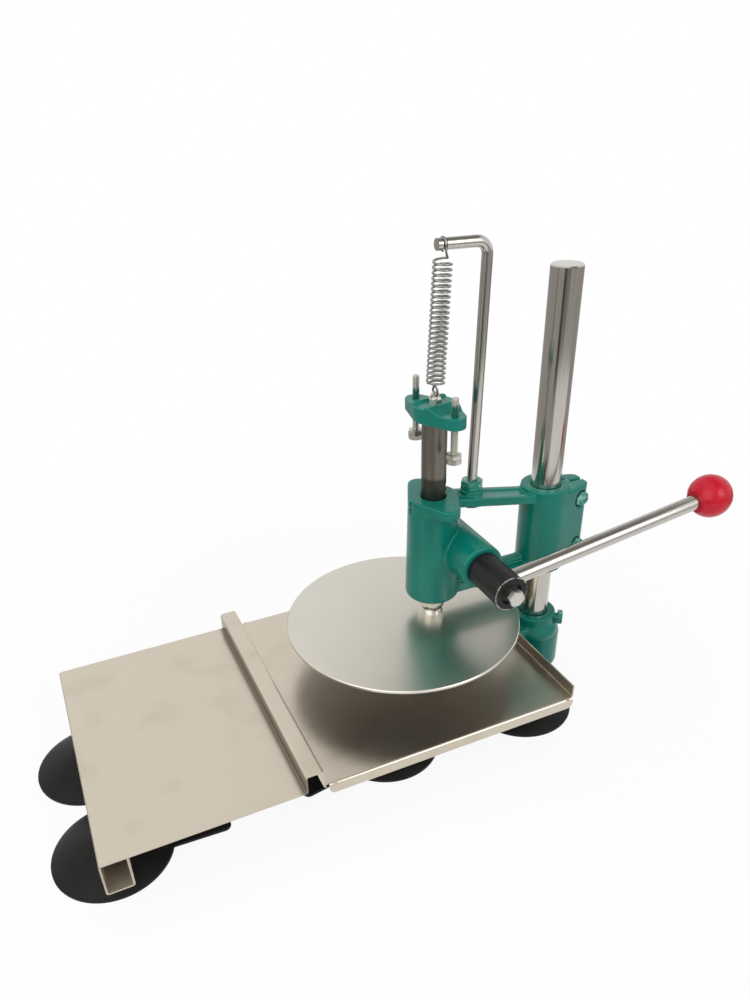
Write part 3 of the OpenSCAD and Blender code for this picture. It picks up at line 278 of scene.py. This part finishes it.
tab_long, tab_half, tab_corner, corner_steps = 47, 16, 6, 12
tab_root, tab_end = cup_rim - 4, cup_rim + tab_long - tab_corner
outline = []
for way in (-1, 1):
    for a in np.linspace(min(0, way), max(0, way), corner_steps) * math.pi / 2:
        outline.append((tab_end + tab_corner * math.cos(a),
                        way * (tab_half - tab_corner) + tab_corner * math.sin(a)))
outline = np.array(outline + [(tab_root, tab_half), (tab_root, -tab_half)])
middle = outline.mean(0)
rings = []
for inset, height in ((0.9, 0.02), (0.3, 0.2), (0, 0.7), (0, 2.8), (0.3, 3.3), (0.9, 3.48)):
    away = outline - middle
    away *= 1 - inset / np.linalg.norm(away, axis=1)[:, None]
    rings.append(np.column_stack([away + middle, np.full(len(outline), height)]))
tab = (rings, False)
grips = []
grip_count, grip_first, grip_pitch, grip_x, grip_y = 4, 8, 4.5, 0.9, 10.5
for step in range(grip_count):
    x = cup_rim + tab_long - grip_first - grip_pitch * step
    rings = []
    for inset, height in ((0, 3.4), (0, 3.9), (0.35, 4.2)):
        half_x, half_y = grip_x - inset, grip_y - inset
        rings.append(np.array([(x + half_x, -half_y, height), (x + half_x, half_y, height),
                               (x - half_x, half_y, height), (x - half_x, -half_y, height)]))
    grips.append((rings, False))

cup_places = {"front_left": (-273.727, -61, -3), "back_left": (-273.727, 49, 30),
              "front_middle": (-14.727, -46, 190), "back_middle": (-14.727, 64, 190),
              "front_right": (132.273, -53, 150), "back_right": (132.273, 57, 150)}
for spot, (x, y, degrees) in cup_places.items():
    where = Matrix.Translation((x * mm, y * mm, 0)) @ Matrix.Rotation(math.radians(degrees), 4, "Z")
    cup = loft("rubber_cup_" + spot, put([bell, tab] + grips, where), rubber, sharp=50)
    settle(cup, "suction_cup_" + spot, "base")


# Column: a ground steel bar, chrome plated, standing in the foot casting.
# Chrome is a near mirror with a slightly warm grey tint; long faint streaks are left by wiping.
chrome, tree, shader, place = new_material("chrome_plate", 1, 0.16)
wiped = add(tree, "ShaderNodeMapping", {"Vector": place, "Scale": (40, 40, 1)})
streaks = add(tree, "ShaderNodeTexNoise", {"Vector": wiped.outputs[0], "Scale": 1 / (60 * mm),
                                           "Detail": 3})
tone = add(tree, "ShaderNodeMix", {0: streaks.outputs[0], 6: linear("#B3AFA8"), 7: linear("#C9C5BE")},
           data_type="RGBA")
gloss = add(tree, "ShaderNodeMapRange", {"Value": streaks.outputs[0], "To Min": 0.12, "To Max": 0.2})
tree.links.new(tone.outputs[2], shader.inputs["Base Color"])
tree.links.new(gloss.outputs[0], shader.inputs["Roughness"])
dress("column", chrome)


# Bolts and nuts: steel, cold formed, zinc plated. Those on the castings were fitted before the last coat
# and caught some of the enamel. A head is flat out to 0.47 of its width, and its chamfer falls by 30
# degrees.
bolt_around, bolt_flat, chamfer = 48, 0.47, 0.577


def hexagon(across, height, fall):
    """A ring of points round a hexagon, lower by fall towards its corners, as a turned chamfer is."""
    turn = np.linspace(0, 2 * np.pi, bolt_around, endpoint=False)
    radius = across / 2 / np.cos((turn + math.pi / 6) % (math.pi / 3) - math.pi / 6)
    chamfer_r = 0.48 * across
    drop = fall * np.maximum(0, radius - chamfer_r)
    return np.stack([radius * np.cos(turn), radius * np.sin(turn), height - drop], 1)


def threaded(radius, start, end, pitch):
    """Rings up a thread, from start to end along z."""
    turn = np.linspace(0, 1, bolt_around, endpoint=False)
    depth = 0.6 * pitch
    rings = []
    for z in np.arange(start, end, pitch / 8):
        wave = np.abs(2 * ((z / pitch - turn) % 1) - 1)
        near_end = min(1, (z - start) / pitch, (end - z) / pitch)
        flank = radius - depth * (1 - np.clip(1.3 * wave, 0, 1) * near_end)
        rings.append(np.column_stack([flank * np.cos(2 * np.pi * turn), flank * np.sin(2 * np.pi * turn),
                                      np.full(bolt_around, z)]))
    return rings


def bolt(across, head, shank_r, shank_l, pitch=0):
    """Strips of a hexagon bolt in millimetres: its head above z = 0 and its shank below."""
    if pitch:
        rings = threaded(shank_r, -shank_l, -0.2, pitch)
    else:
        rings = [circle(0.8 * shank_r, -shank_l, bolt_around),
                 circle(shank_r, 0.2 * shank_r - shank_l, bolt_around)]
    rings.append(circle(shank_r, 0, bolt_around))
    rings.append(circle(bolt_flat * across, 0, bolt_around))
    rings.append(hexagon(across, 0.25, 0))
    rings.append(hexagon(across, head, chamfer))
    rings.append(circle(bolt_flat * across, head, bolt_around))
    rings.append(circle(0.40 * across, head, bolt_around))
    rings.append(circle(0.39 * across, head - 0.15, bolt_around))
    return [(rings, False)]


def nut(across, height, bore):
    """Strips of a hexagon nut in millimetres, standing on z = 0."""
    lead = 0.6
    rings = [circle(bore, lead, bolt_around), circle(bore, height - lead, bolt_around),
             circle(bore + lead, height, bolt_around), circle(bolt_flat * across, height, bolt_around),
             hexagon(across, height, chamfer), hexagon(across, 0, -chamfer),
             circle(bolt_flat * across, 0, bolt_around), circle(bore + lead, 0, bolt_around)]
    return [(rings, True)]


def aim(point, direction, turn=0):
    """A matrix that puts z along a direction at a point in millimetres, turned about it."""
    z = Vector(direction).normalized()
    return (Matrix.Translation(Vector(point) * mm) @ z.to_track_quat("Z", "Y").to_matrix().to_4x4()
            @ Matrix.Rotation(math.radians(turn), 4, "Z"))


# Zinc plate: a cool, slightly cloudy metal.
zinc, tree, shader, place = new_material("zinc_plate", 1, 0.3)
cloud = add(tree, "ShaderNodeTexNoise", {"Vector": place, "Scale": 1 / (3 * mm), "Detail": 4})
tone = add(tree, "ShaderNodeMix", {0: cloud.outputs[0], 6: linear("#BDBBB2"), 7: linear("#D6D4CC")},
           data_type="RGBA")
gloss = add(tree, "ShaderNodeMapRange", {"Value": cloud.outputs[0], "To Min": 0.22, "To Max": 0.42})
tree.links.new(tone.outputs[2], shader.inputs["Base Color"])
tree.links.new(gloss.outputs[0], shader.inputs["Roughness"])

# Oversprayed zinc: the same plate with a thin, uneven film of the green enamel.
sprayed, tree, shader, place = new_material("oversprayed_zinc", 1, 0.3)
spots = add(tree, "ShaderNodeTexNoise", {"Vector": place, "Scale": 1 / (5 * mm), "Detail": 5})
film = add(tree, "ShaderNodeMapRange", {"Value": spots.outputs[0], "From Min": 0.3, "From Max": 0.5})
tone = add(tree, "ShaderNodeMix", {0: film.outputs[0], 6: linear("#9CC2B4"), 7: linear("#128270")},
           data_type="RGBA")
bare = add(tree, "ShaderNodeMapRange", {"Value": film.outputs[0], "To Min": 0.9, "To Max": 0.1})
tree.links.new(tone.outputs[2], shader.inputs["Base Color"])
tree.links.new(bare.outputs[0], shader.inputs["Metallic"])

bolt_across, bolt_head, bolt_r, bolt_bore, nut_height = 13, 5.3, 4, 4.05, 6.5
column_mid = column_x / mm
set_turn, set_z, set_out, set_shank = math.radians(-36), 62, 25, 10.7
set_way = Vector((math.cos(set_turn), math.sin(set_turn), 0))
set_seat = Vector((column_mid, 0, set_z)) + set_out * set_way
set_screw = loft("set_screw", put(bolt(bolt_across, bolt_head, bolt_r, set_shank),
                                  aim(set_seat, set_way, turn=12)), sprayed)
settle(set_screw, "foot_set_screw", "base")

dress("cup_studs", zinc)
sheet_thick = 1.5
nut_parts = []
for spot in ("front_left", "back_left"):
    x, y, _ = cup_places[spot]
    nut_parts += put(nut(bolt_across, nut_height, bolt_bore),
                     aim((x, y, cup_height + sheet_thick), up, turn=10))
leg_nuts = loft("leg_nuts", nut_parts, zinc)
settle(leg_nuts, "cup_nuts", "base")
dress("tray_screws", zinc)


# Press head: the main casting, with the housing of the ram, the barrel of the pinion shaft, two arms
# round a window and the split clamp. It has the same green enamel as the foot.
ram_x, pinion_x, pinion_z = 58.273, 79.273, 176.9
ram_bore, pinion_bore, clamp_slack = 11.15 * mm, 8.15 * mm, 0.15 * mm
head = skin("head_casting", "press_head", "head", voxel=0.9 * mm, rounds=8,
            bores=[(up, (ram_x * mm, 0, 0), ram_bore), (up, (column_x, 0, 0), column_r + clamp_slack),
                   ((0, 1, 0), (pinion_x * mm, 0, pinion_z * mm), pinion_bore)])
head.data.materials.append(enamel)

clamp_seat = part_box("clamp_bolts")[0].y / mm + bolt_head
clamp_out, clamp_heights = 32.5, (145.9, 196.4)
clamp_parts = []
for height in clamp_heights:
    clamp_parts += put(bolt(bolt_across, bolt_head, bolt_r, -2 * clamp_seat),
                       aim((column_mid + clamp_out, clamp_seat, height), (0, -1, 0), turn=8))
clamp = loft("clamp_screws", clamp_parts, sprayed)
settle(clamp, "clamp_bolts", "head")
dress("guide_screws", zinc)


# Pinion shaft: turned steel, blackened in hot oxide. Its round head takes the lever and a bolt that
# locks it; the oxide has rubbed off along the rim of its face.
blacked, tree, shader, place = new_material("black_oxide_steel", 0.6, 0.4)
face_y, head_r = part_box("pinion_shaft")[0].y, 15.5 * mm
rub = add(tree, "ShaderNodeTexNoise", {"Vector": place, "Scale": 1 / (4 * mm), "Detail": 5})
tone = add(tree, "ShaderNodeMix", {0: rub.outputs[0], 6: linear("#19191A"), 7: linear("#2A2929")},
           data_type="RGBA")
out = add(tree, "ShaderNodeVectorMath", {0: place, 1: (pinion_x * mm, 0, pinion_z * mm)},
          operation="SUBTRACT")
out = add(tree, "ShaderNodeVectorMath", {0: out.outputs[0], 1: (1, 0, 1)}, operation="MULTIPLY")
out = add(tree, "ShaderNodeVectorMath", {0: out.outputs[0]}, operation="LENGTH")
depth = add(tree, "ShaderNodeSeparateXYZ", {0: place})
near_rim = add(tree, "ShaderNodeMapRange", {"Value": out.outputs["Value"], "From Min": head_r - 0.9 * mm,
                                            "From Max": head_r - 0.3 * mm})
near_face = add(tree, "ShaderNodeMapRange", {"Value": depth.outputs["Y"], "From Min": face_y + 0.8 * mm,
                                             "From Max": face_y + 0.3 * mm})
corner = add(tree, "ShaderNodeMath", {0: near_rim.outputs[0], 1: near_face.outputs[0]},
             operation="MULTIPLY")
bare = add(tree, "ShaderNodeMapRange", {"Value": rub.outputs[0], "From Min": 0.4, "From Max": 0.55})
wear = add(tree, "ShaderNodeMath", {0: corner.outputs[0], 1: bare.outputs[0]}, operation="MULTIPLY")
tone = add(tree, "ShaderNodeMix", {0: wear.outputs[0], 6: tone.outputs[2], 7: linear("#C9C6BE")},
           data_type="RGBA")
gloss = add(tree, "ShaderNodeMapRange", {"Value": rub.outputs[0], "To Min": 0.32, "To Max": 0.5})
tree.links.new(tone.outputs[2], shader.inputs["Base Color"])
tree.links.new(gloss.outputs[0], shader.inputs["Roughness"])
dress("pinion_shaft", blacked)

lock_shank, tail_shank = 20, 16
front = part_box("lever_bolt")[0].y / mm
lock = loft("lock_bolt", put(bolt(bolt_across, bolt_head, bolt_r, lock_shank),
                             aim((pinion_x, front + bolt_head, pinion_z), (0, -1, 0), turn=20)), zinc)
settle(lock, "lever_bolt", "handle")
dress("shaft_washer", zinc)
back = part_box("shaft_screw")[1].y / mm
tail = loft("tail_bolt", put(bolt(bolt_across, bolt_head, bolt_r, tail_shank),
                             aim((pinion_x, back - bolt_head, pinion_z), (0, 1, 0), turn=5)), zinc)
settle(tail, "shaft_screw", "handle")


# Lever: a chrome plated bar through the shaft's head, with a ball knob of red moulded plastic.
# The plastic is smooth, and slightly lighter and darker where it flowed in the mould.
dress("lever_rod", chrome)
red, tree, shader, place = new_material("red_plastic", 0, 0.24)
flow = add(tree, "ShaderNodeTexNoise", {"Vector": place, "Scale": 1 / (18 * mm), "Detail": 2})
tone = add(tree, "ShaderNodeMix", {0: flow.outputs[0], 6: linear("#C20C26"), 7: linear("#D0122E")},
           data_type="RGBA")
tree.links.new(tone.outputs[2], shader.inputs["Base Color"])
shader.inputs["Specular IOR Level"].default_value = 0.3
dress("ball_knob", red)


# Ram: a round bar of dark steel with the rack cut into its column side. It is drawn, so it has long
# marks, and it is wet with oil where it last came out of the housing.
oiled, tree, shader, place = new_material("oiled_steel", 1, 0.38)
drawn = add(tree, "ShaderNodeMapping", {"Vector": place, "Scale": (30, 30, 1)})
marks = add(tree, "ShaderNodeTexNoise", {"Vector": drawn.outputs[0], "Scale": 1 / (40 * mm), "Detail": 4})
tone = add(tree, "ShaderNodeMix", {0: marks.outputs[0], 6: linear("#5C5850"), 7: linear("#918C82")},
           data_type="RGBA")
height = add(tree, "ShaderNodeSeparateXYZ", {0: place})
wet_top = 250 * mm
wet = add(tree, "ShaderNodeMapRange", {"Value": height.outputs["Z"], "From Min": wet_top,
                                       "From Max": wet_top - 3 * mm, "To Max": 0.75})
tone = add(tree, "ShaderNodeMix", {0: wet.outputs[0], 6: tone.outputs[2], 7: linear("#2B302C")},
           data_type="RGBA")
gloss = add(tree, "ShaderNodeMapRange", {"Value": marks.outputs[0], "To Min": 0.26, "To Max": 0.46})
tree.links.new(tone.outputs[2], shader.inputs["Base Color"])
tree.links.new(gloss.outputs[0], shader.inputs["Roughness"])
dress("ram", oiled)


# Yoke: a small green casting across the top of the ram. Its bolt has a welded eye for the spring.
yoke = skin("yoke_casting", "yoke", "plunger", voxel=0.6 * mm, rounds=5, bores=[])
yoke.data.materials.append(enamel)
dress("yoke_bolt", zinc)


# Depth stops: two M6 bolts, heads down, screwed through the ends of the yoke and locked with nuts.
# The yoke was sprayed with them in it, so their threads are green for a few millimetres above it.
masked, tree, shader, place = new_material("part_sprayed_zinc", 1, 0.3)
spray_low, spray_top = 299 * mm, 324.5 * mm
ragged = add(tree, "ShaderNodeTexNoise", {"Vector": place, "Scale": 1 / (2.5 * mm), "Detail": 3})
height = add(tree, "ShaderNodeSeparateXYZ", {0: place})
line = add(tree, "ShaderNodeMath", {0: ragged.outputs[0], 1: 7 * mm, 2: height.outputs["Z"]},
           operation="MULTIPLY_ADD")
below = add(tree, "ShaderNodeMapRange", {"Value": line.outputs[0], "From Min": spray_top,
                                         "From Max": spray_top - 2.5 * mm})
above = add(tree, "ShaderNodeMapRange", {"Value": height.outputs["Z"], "From Min": spray_low,
                                         "From Max": spray_low + 3 * mm})
film = add(tree, "ShaderNodeMath", {0: below.outputs[0], 1: above.outputs[0]}, operation="MULTIPLY")
tone = add(tree, "ShaderNodeMix", {0: film.outputs[0], 6: linear("#C4C2B9"), 7: linear("#0E6454")},
           data_type="RGBA")
bare = add(tree, "ShaderNodeMapRange", {"Value": film.outputs[0], "To Min": 1, "To Max": 0})
tree.links.new(tone.outputs[2], shader.inputs["Base Color"])
tree.links.new(bare.outputs[0], shader.inputs["Metallic"])
stop_across, stop_head, stop_r, stop_bore, stop_pitch = 12, 4.5, 3, 3.05, 1
for spot in ("front", "rear"):
    low, high = (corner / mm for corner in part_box("stop_bolt_" + spot))
    x, y = (low.x + high.x) / 2, (low.y + high.y) / 2
    stop = loft("stop_screw_" + spot,
                put(bolt(stop_across, stop_head, stop_r, high.z - low.z - stop_head, stop_pitch),
                    aim((x, y, low.z + stop_head), (0, 0, -1), turn=15)), masked)
    settle(stop, "stop_bolt_" + spot, "stop_" + spot)
    low, high = (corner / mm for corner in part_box("stop_nut_" + spot))
    lock_nut = loft("stop_locknut_" + spot,
                    put(nut(stop_across, high.z - low.z, stop_bore),
                        aim((x, y, low.z), up, turn=25)), zinc)
    settle(lock_nut, "stop_nut_" + spot, "stop_" + spot)


# Press plate: a disc of 3 mm stainless, satin ground, with a painted shade that darkens its underside.
# The grit is drawn coarser than the real one, so that it shows.
satin, tree, shader, place = new_material("satin_stainless", 1, 0.3)
grit = add(tree, "ShaderNodeTexNoise", {"Vector": place, "Scale": 1 / (0.7 * mm), "Detail": 3})
worn = add(tree, "ShaderNodeTexNoise", {"Vector": place, "Scale": 1 / (50 * mm), "Detail": 3})
tone = add(tree, "ShaderNodeMix", {0: worn.outputs[0], 6: linear("#D2CDC2"), 7: linear("#DAD5CA")},
           data_type="RGBA")
# Painted shade: faces turned downwards take a darker grey.
facing = add(tree, "ShaderNodeSeparateXYZ", {0: add(tree, "ShaderNodeNewGeometry").outputs["Normal"]})
underside_shade = add(tree, "ShaderNodeMapRange", {"Value": facing.outputs["Z"], "From Min": -0.3, "From Max": -0.8})
tone = add(tree, "ShaderNodeMix", {0: underside_shade.outputs[0], 6: tone.outputs[2], 7: linear("#9C9EA0")},
           data_type="RGBA")
gloss = add(tree, "ShaderNodeMapRange", {"Value": worn.outputs[0], "To Min": 0.26, "To Max": 0.32})
rough = add(tree, "ShaderNodeBump", {"Height": grit.outputs[0], "Strength": 0.05, "Distance": 0.05 * mm})
tree.links.new(tone.outputs[2], shader.inputs["Base Color"])
tree.links.new(gloss.outputs[0], shader.inputs["Roughness"])
tree.links.new(rough.outputs[0], shader.inputs["Normal"])
dress("press_disc", satin)


# Plate nut: a tall chromed hexagon nut, turned down to a cone at its foot, on a thin washer.
# Its chrome is brighter than the bars', with shallow dents from the spanner.
bright, tree, shader, place = new_material("bright_chrome", 1, 0.07)
dents = add(tree, "ShaderNodeTexNoise", {"Vector": place, "Scale": 1 / (6 * mm), "Detail": 2})
tone = add(tree, "ShaderNodeMix", {0: dents.outputs[0], 6: linear("#D6D4CF"), 7: linear("#E6E4DF")},
           data_type="RGBA")
tree.links.new(tone.outputs[2], shader.inputs["Base Color"])
low, high = (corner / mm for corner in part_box("disc_nut"))
plate_across, plate_foot, plate_taper, plate_bore, plate_lead, cone_steps = 24, 19.5, 9, 7.05, 0.5, 12
tall = high.z - low.z
corner_r = plate_across / 2 / math.cos(math.pi / 6)
rings = [circle(plate_bore, plate_lead, bolt_around), circle(plate_bore, tall - plate_lead, bolt_around),
         circle(plate_bore + plate_lead, tall, bolt_around),
         circle(bolt_flat * plate_across, tall, bolt_around), hexagon(plate_across, tall, chamfer)]
for z in np.linspace(plate_taper, 0, cone_steps):
    ring = hexagon(plate_across, z, 0)
    cone_r = plate_foot / 2 + (corner_r - plate_foot / 2) * z / plate_taper
    ring[:, :2] *= np.minimum(1, cone_r / np.linalg.norm(ring[:, :2], axis=1))[:, None]
    rings.append(ring)
rings.append(circle(plate_bore + plate_lead, 0, bolt_around))
plate_nut = loft("plate_nut", put([(rings, True)], aim((ram_x, 0, low.z), up, turn=14)), bright)
settle(plate_nut, "disc_nut", "plunger")
dress("disc_washer_ring", bright)


# Spring post: a chromed bar bent over at the top, screwed into the head and locked with a nut.
dress("spring_post", chrome)
low, high = (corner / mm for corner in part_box("post_nut"))
post_across, post_bore = 18, 4.05
foot_nut = loft("post_locknut", put(nut(post_across, high.z - low.z, post_bore),
                                    aim(((low.x + high.x) / 2, 0, low.z), up, turn=20)), sprayed)
settle(foot_nut, "post_nut", "head")


# Return spring: 1.8 mm bright wire wound into an extension spring, with a hook at each end that turns
# square to the coils, through the eye of the bolt below and round the groove of the post above.
wire_r, coil_r, turns = 0.9, 7.1, 24
low_r, high_r, low_rise, high_rise = 3.9, 4.8, 2, 7
eye_z, arm_z, lean = 320.21, 437, 4.5
hook_steps, rise_steps, coil_steps, wire_sides = 37, 26, 40, 14
low_z = eye_z + low_r
coil_low, coil_high = low_z + low_r + low_rise, arm_z - high_r - high_rise


def on_ring(x, z, radius, degrees, tilt):
    """A point on a ring about (x, 0, z), turned up by tilt."""
    a, t = math.radians(degrees), math.radians(tilt)
    out = radius * math.sin(a)
    return (x + out * math.cos(t), radius * math.cos(a), z + out * math.sin(t))


def eased(u):
    """A smooth start and end between 0 and 1."""
    return u * u * (3 - 2 * u)


wire = [on_ring(ram_x, low_z, low_r, -450 + 270 * u, -90) for u in np.linspace(0, 1, hook_steps)]
for u in np.linspace(0, 1, rise_steps)[1:-1]:
    e = eased(u)
    wire.append(on_ring(ram_x, low_z + e * (coil_low - low_z), low_r + e * (coil_r - low_r),
                        180 * u - 180, 90 * (e - 1)))
for u in np.linspace(0, 1, turns * coil_steps + 1):
    wire.append(on_ring(ram_x + lean * u, coil_low + u * (coil_high - coil_low), coil_r,
                        360 * turns * u, 0))
for u in np.linspace(0, 1, rise_steps)[1:-1]:
    e = eased(u)
    wire.append(on_ring(ram_x + lean, coil_high + e * (arm_z - coil_high), coil_r + e * (high_r - coil_r),
                        180 * u, -90 * e))
wire += [on_ring(ram_x + lean, arm_z, high_r, 180 + 270 * u, -90) for u in np.linspace(0, 1, hook_steps)]
wire = np.array(wire)
ahead = np.gradient(wire, axis=0)
ahead /= np.linalg.norm(ahead, axis=1)[:, None]
across = np.array([1.0, 0, 0])
turn = np.linspace(0, 2 * np.pi, wire_sides, endpoint=False)
rings = []
for point, way in zip(wire, ahead):
    across = across - way * (across @ way)
    across /= np.linalg.norm(across)
    other = np.cross(way, across)
    rings.append(point + wire_r * (np.outer(np.cos(turn), across) + np.outer(np.sin(turn), other)))

# Spring wire: hard drawn and bright, with short dull marks from the winding.
steel_wire, tree, shader, place = new_material("spring_wire", 1, 0.22)
draw = add(tree, "ShaderNodeTexNoise", {"Vector": place, "Scale": 1 / (2.5 * mm), "Detail": 3})
tone = add(tree, "ShaderNodeMix", {0: draw.outputs[0], 6: linear("#807E79"), 7: linear("#ABA9A3")},
           data_type="RGBA")
tree.links.new(tone.outputs[2], shader.inputs["Base Color"])
spring = loft("coil_spring", put([(rings, False)], Matrix()), steel_wire, sharp=60)
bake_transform(spring)
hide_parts("return_spring")


# Floor: a pale sheet that keeps a soft shadow near the press and runs out to plain white.
def stage_sheet(name, corners, material):
    """A flat sheet of the studio."""
    mesh = bpy.data.meshes.new(name)
    mesh.from_pydata(corners, [], [tuple(range(len(corners)))])
    mesh.materials.append(material)
    sheet = bpy.data.objects.new(name, mesh)
    bpy.context.scene.collection.objects.link(sheet)
    return sheet


def plain_rays(tree):
    """1 for rays from the camera and from mirror-like or clear surfaces, otherwise 0."""
    ray = add(tree, "ShaderNodeLightPath")
    seen = add(tree, "ShaderNodeMath", {0: ray.outputs["Is Camera Ray"], 1: ray.outputs["Is Glossy Ray"]},
               operation="ADD")
    return add(tree, "ShaderNodeMath", {0: seen.outputs[0], 1: ray.outputs["Is Transmission Ray"]},
               operation="ADD", use_clamp=True)


pale, tree, shader, place = new_material("pale_floor", 0, 0.8)
shader.inputs["Base Color"].default_value = linear("#F4F4F4")
shader.inputs["Specular IOR Level"].default_value = 0
away = add(tree, "ShaderNodeVectorMath", {0: place}, operation="LENGTH")
whiter = add(tree, "ShaderNodeMapRange", {"Value": away.outputs["Value"], "From Min": 0.3, "From Max": 0.8,
                                          "To Min": 0.92, "To Max": 1})
share = add(tree, "ShaderNodeMath", {0: plain_rays(tree).outputs[0], 1: whiter.outputs[0]},
            operation="MULTIPLY")
white = add(tree, "ShaderNodeEmission", {"Color": (1, 1, 1, 1), "Strength": 1.0})
mixed = add(tree, "ShaderNodeMixShader", {0: share.outputs[0], 1: shader.outputs[0], 2: white.outputs[0]})
tree.links.new(mixed.outputs[0], tree.nodes["Material Output"].inputs["Surface"])
reach = 9
stage_sheet("floor", [(-reach, -reach, 0), (reach, -reach, 0), (reach, reach, 0), (-reach, reach, 0)],
            pale)


# Flags: dull grey and black cards round the press that show only where its surfaces mirror them.
# Without them the chrome would mirror nothing but white.
def flag(name, corners, level):
    """A card of an even grey that shows in mirrors and casts no shadow."""
    material = bpy.data.materials.new(name)
    material.use_nodes = True
    tree = material.node_tree
    grey = add(tree, "ShaderNodeEmission", {"Color": (1, 0.97, 0.93, 1), "Strength": level})
    tree.links.new(grey.outputs[0], tree.nodes["Material Output"].inputs["Surface"])
    card = stage_sheet(name, corners, material)
    card.visible_camera = False
    card.visible_diffuse = False
    card.visible_transmission = False
    card.visible_shadow = False


def overhead(name, x_from, x_to, y_from, y_to, level):
    """A level card above the press."""
    z = 1.9
    flag(name, [(x_from, y_from, z), (x_to, y_from, z), (x_to, y_to, z), (x_from, y_to, z)], level)


def mat(name, near, start, end, height, level):
    """A card flat on the floor, from a distance outwards, between two directions from the column."""
    far = 5
    corners = []
    for distance, degrees in ((near, start), (far, start), (far, end), (near, end)):
        a = math.radians(degrees)
        corners.append((column_x + distance * math.cos(a), distance * math.sin(a), height))
    flag(name, corners, level)


overhead("grey_ceiling", 0.3, 1.3, -0.9, 0.8, level=0.25)
overhead("grey_back", 0.7, 2.6, 1, 2.05, level=0.35)
mat_near, mat_front, mat_part = 0.52, 1.05, 30
front_from, front_to = 240, 330
for start in range(0, 360, mat_part):
    near = mat_front if front_from <= start < front_to else mat_near
    mat("grey_mat_%d" % start, near, start, start + mat_part, height=1 * mm, level=0.42)
mat("dark_mat", mat_front, 234, 262, height=2 * mm, level=0.22)
mat("black_strip", 0.9, 220, 235, height=3 * mm, level=0.03)


# Light: an even white room with a soft box above, a large one on the left and a small one at the right
# front. The room lights the press less than it shows in mirrors.
world = bpy.data.worlds.new("soft_room")
bpy.context.scene.world = world
world.use_nodes = True
tree = world.node_tree
background = tree.nodes["Background"]
background.inputs["Color"].default_value = (1, 1, 1, 1)
room_fill, room_white = 0.38, 1.0
level = add(tree, "ShaderNodeMapRange", {"Value": plain_rays(tree).outputs[0], "To Min": room_fill,
                                         "To Max": room_white})
tree.links.new(level.outputs[0], background.inputs["Strength"])


def lamp(name, spot, size, power, mirrored):
    """A square soft box at a spot, aimed at the press; bright metal may or may not mirror it."""
    light = bpy.data.lights.new(name, "AREA")
    light.shape = "SQUARE"
    light.size = size
    light.energy = power
    box = bpy.data.objects.new(name, light)
    bpy.context.scene.collection.objects.link(box)
    box.location = spot
    target = Vector((0, 0, 0.12))
    box.rotation_euler = (target - Vector(spot)).to_track_quat("-Z", "Y").to_euler()
    box.visible_glossy = mirrored


lamp("top_light", (-0.1, 0.1, 1.7), size=1.4, power=10, mirrored=False)
lamp("left_light", (-1.3, -0.9, 1.1), size=1.8, power=12, mirrored=True)
lamp("front_light", (0.7, -1.35, 1.05), size=0.8, power=6, mirrored=True)


# Camera: where the picture was taken, above the left front corner, with the picture's own field of view.
# The focal length and the optical centre are in pixels of a picture of 750 by 1000.
picture_wide, picture_high = 750, 1000
focal, centre_x, centre_y = 803.489, 372.75, 578.62
sensor = 36
view = bpy.data.cameras.new("camera")
view.sensor_fit = "VERTICAL"
view.sensor_height = sensor
view.lens = sensor * focal / picture_high
view.shift_x = (picture_wide / 2 - centre_x) / picture_high
view.shift_y = (centre_y - picture_high / 2) / picture_high
view.clip_start = 0.01
camera = bpy.data.objects.new("camera", view)
bpy.context.scene.collection.objects.link(camera)
right = Vector((0.90916, -0.41568, -0.02529))
down = Vector((-0.24381, -0.48205, -0.84154))
forward = Vector((0.33762, 0.77126, -0.53961))
stand = Vector((-0.24854, -0.56155, 0.55172))
turned = Matrix((right, -down, -forward)).transposed().to_4x4()
camera.matrix_world = Matrix.Translation(stand) @ turned
bpy.context.scene.camera = camera
bpy.context.scene.view_settings.view_transform = "Standard"
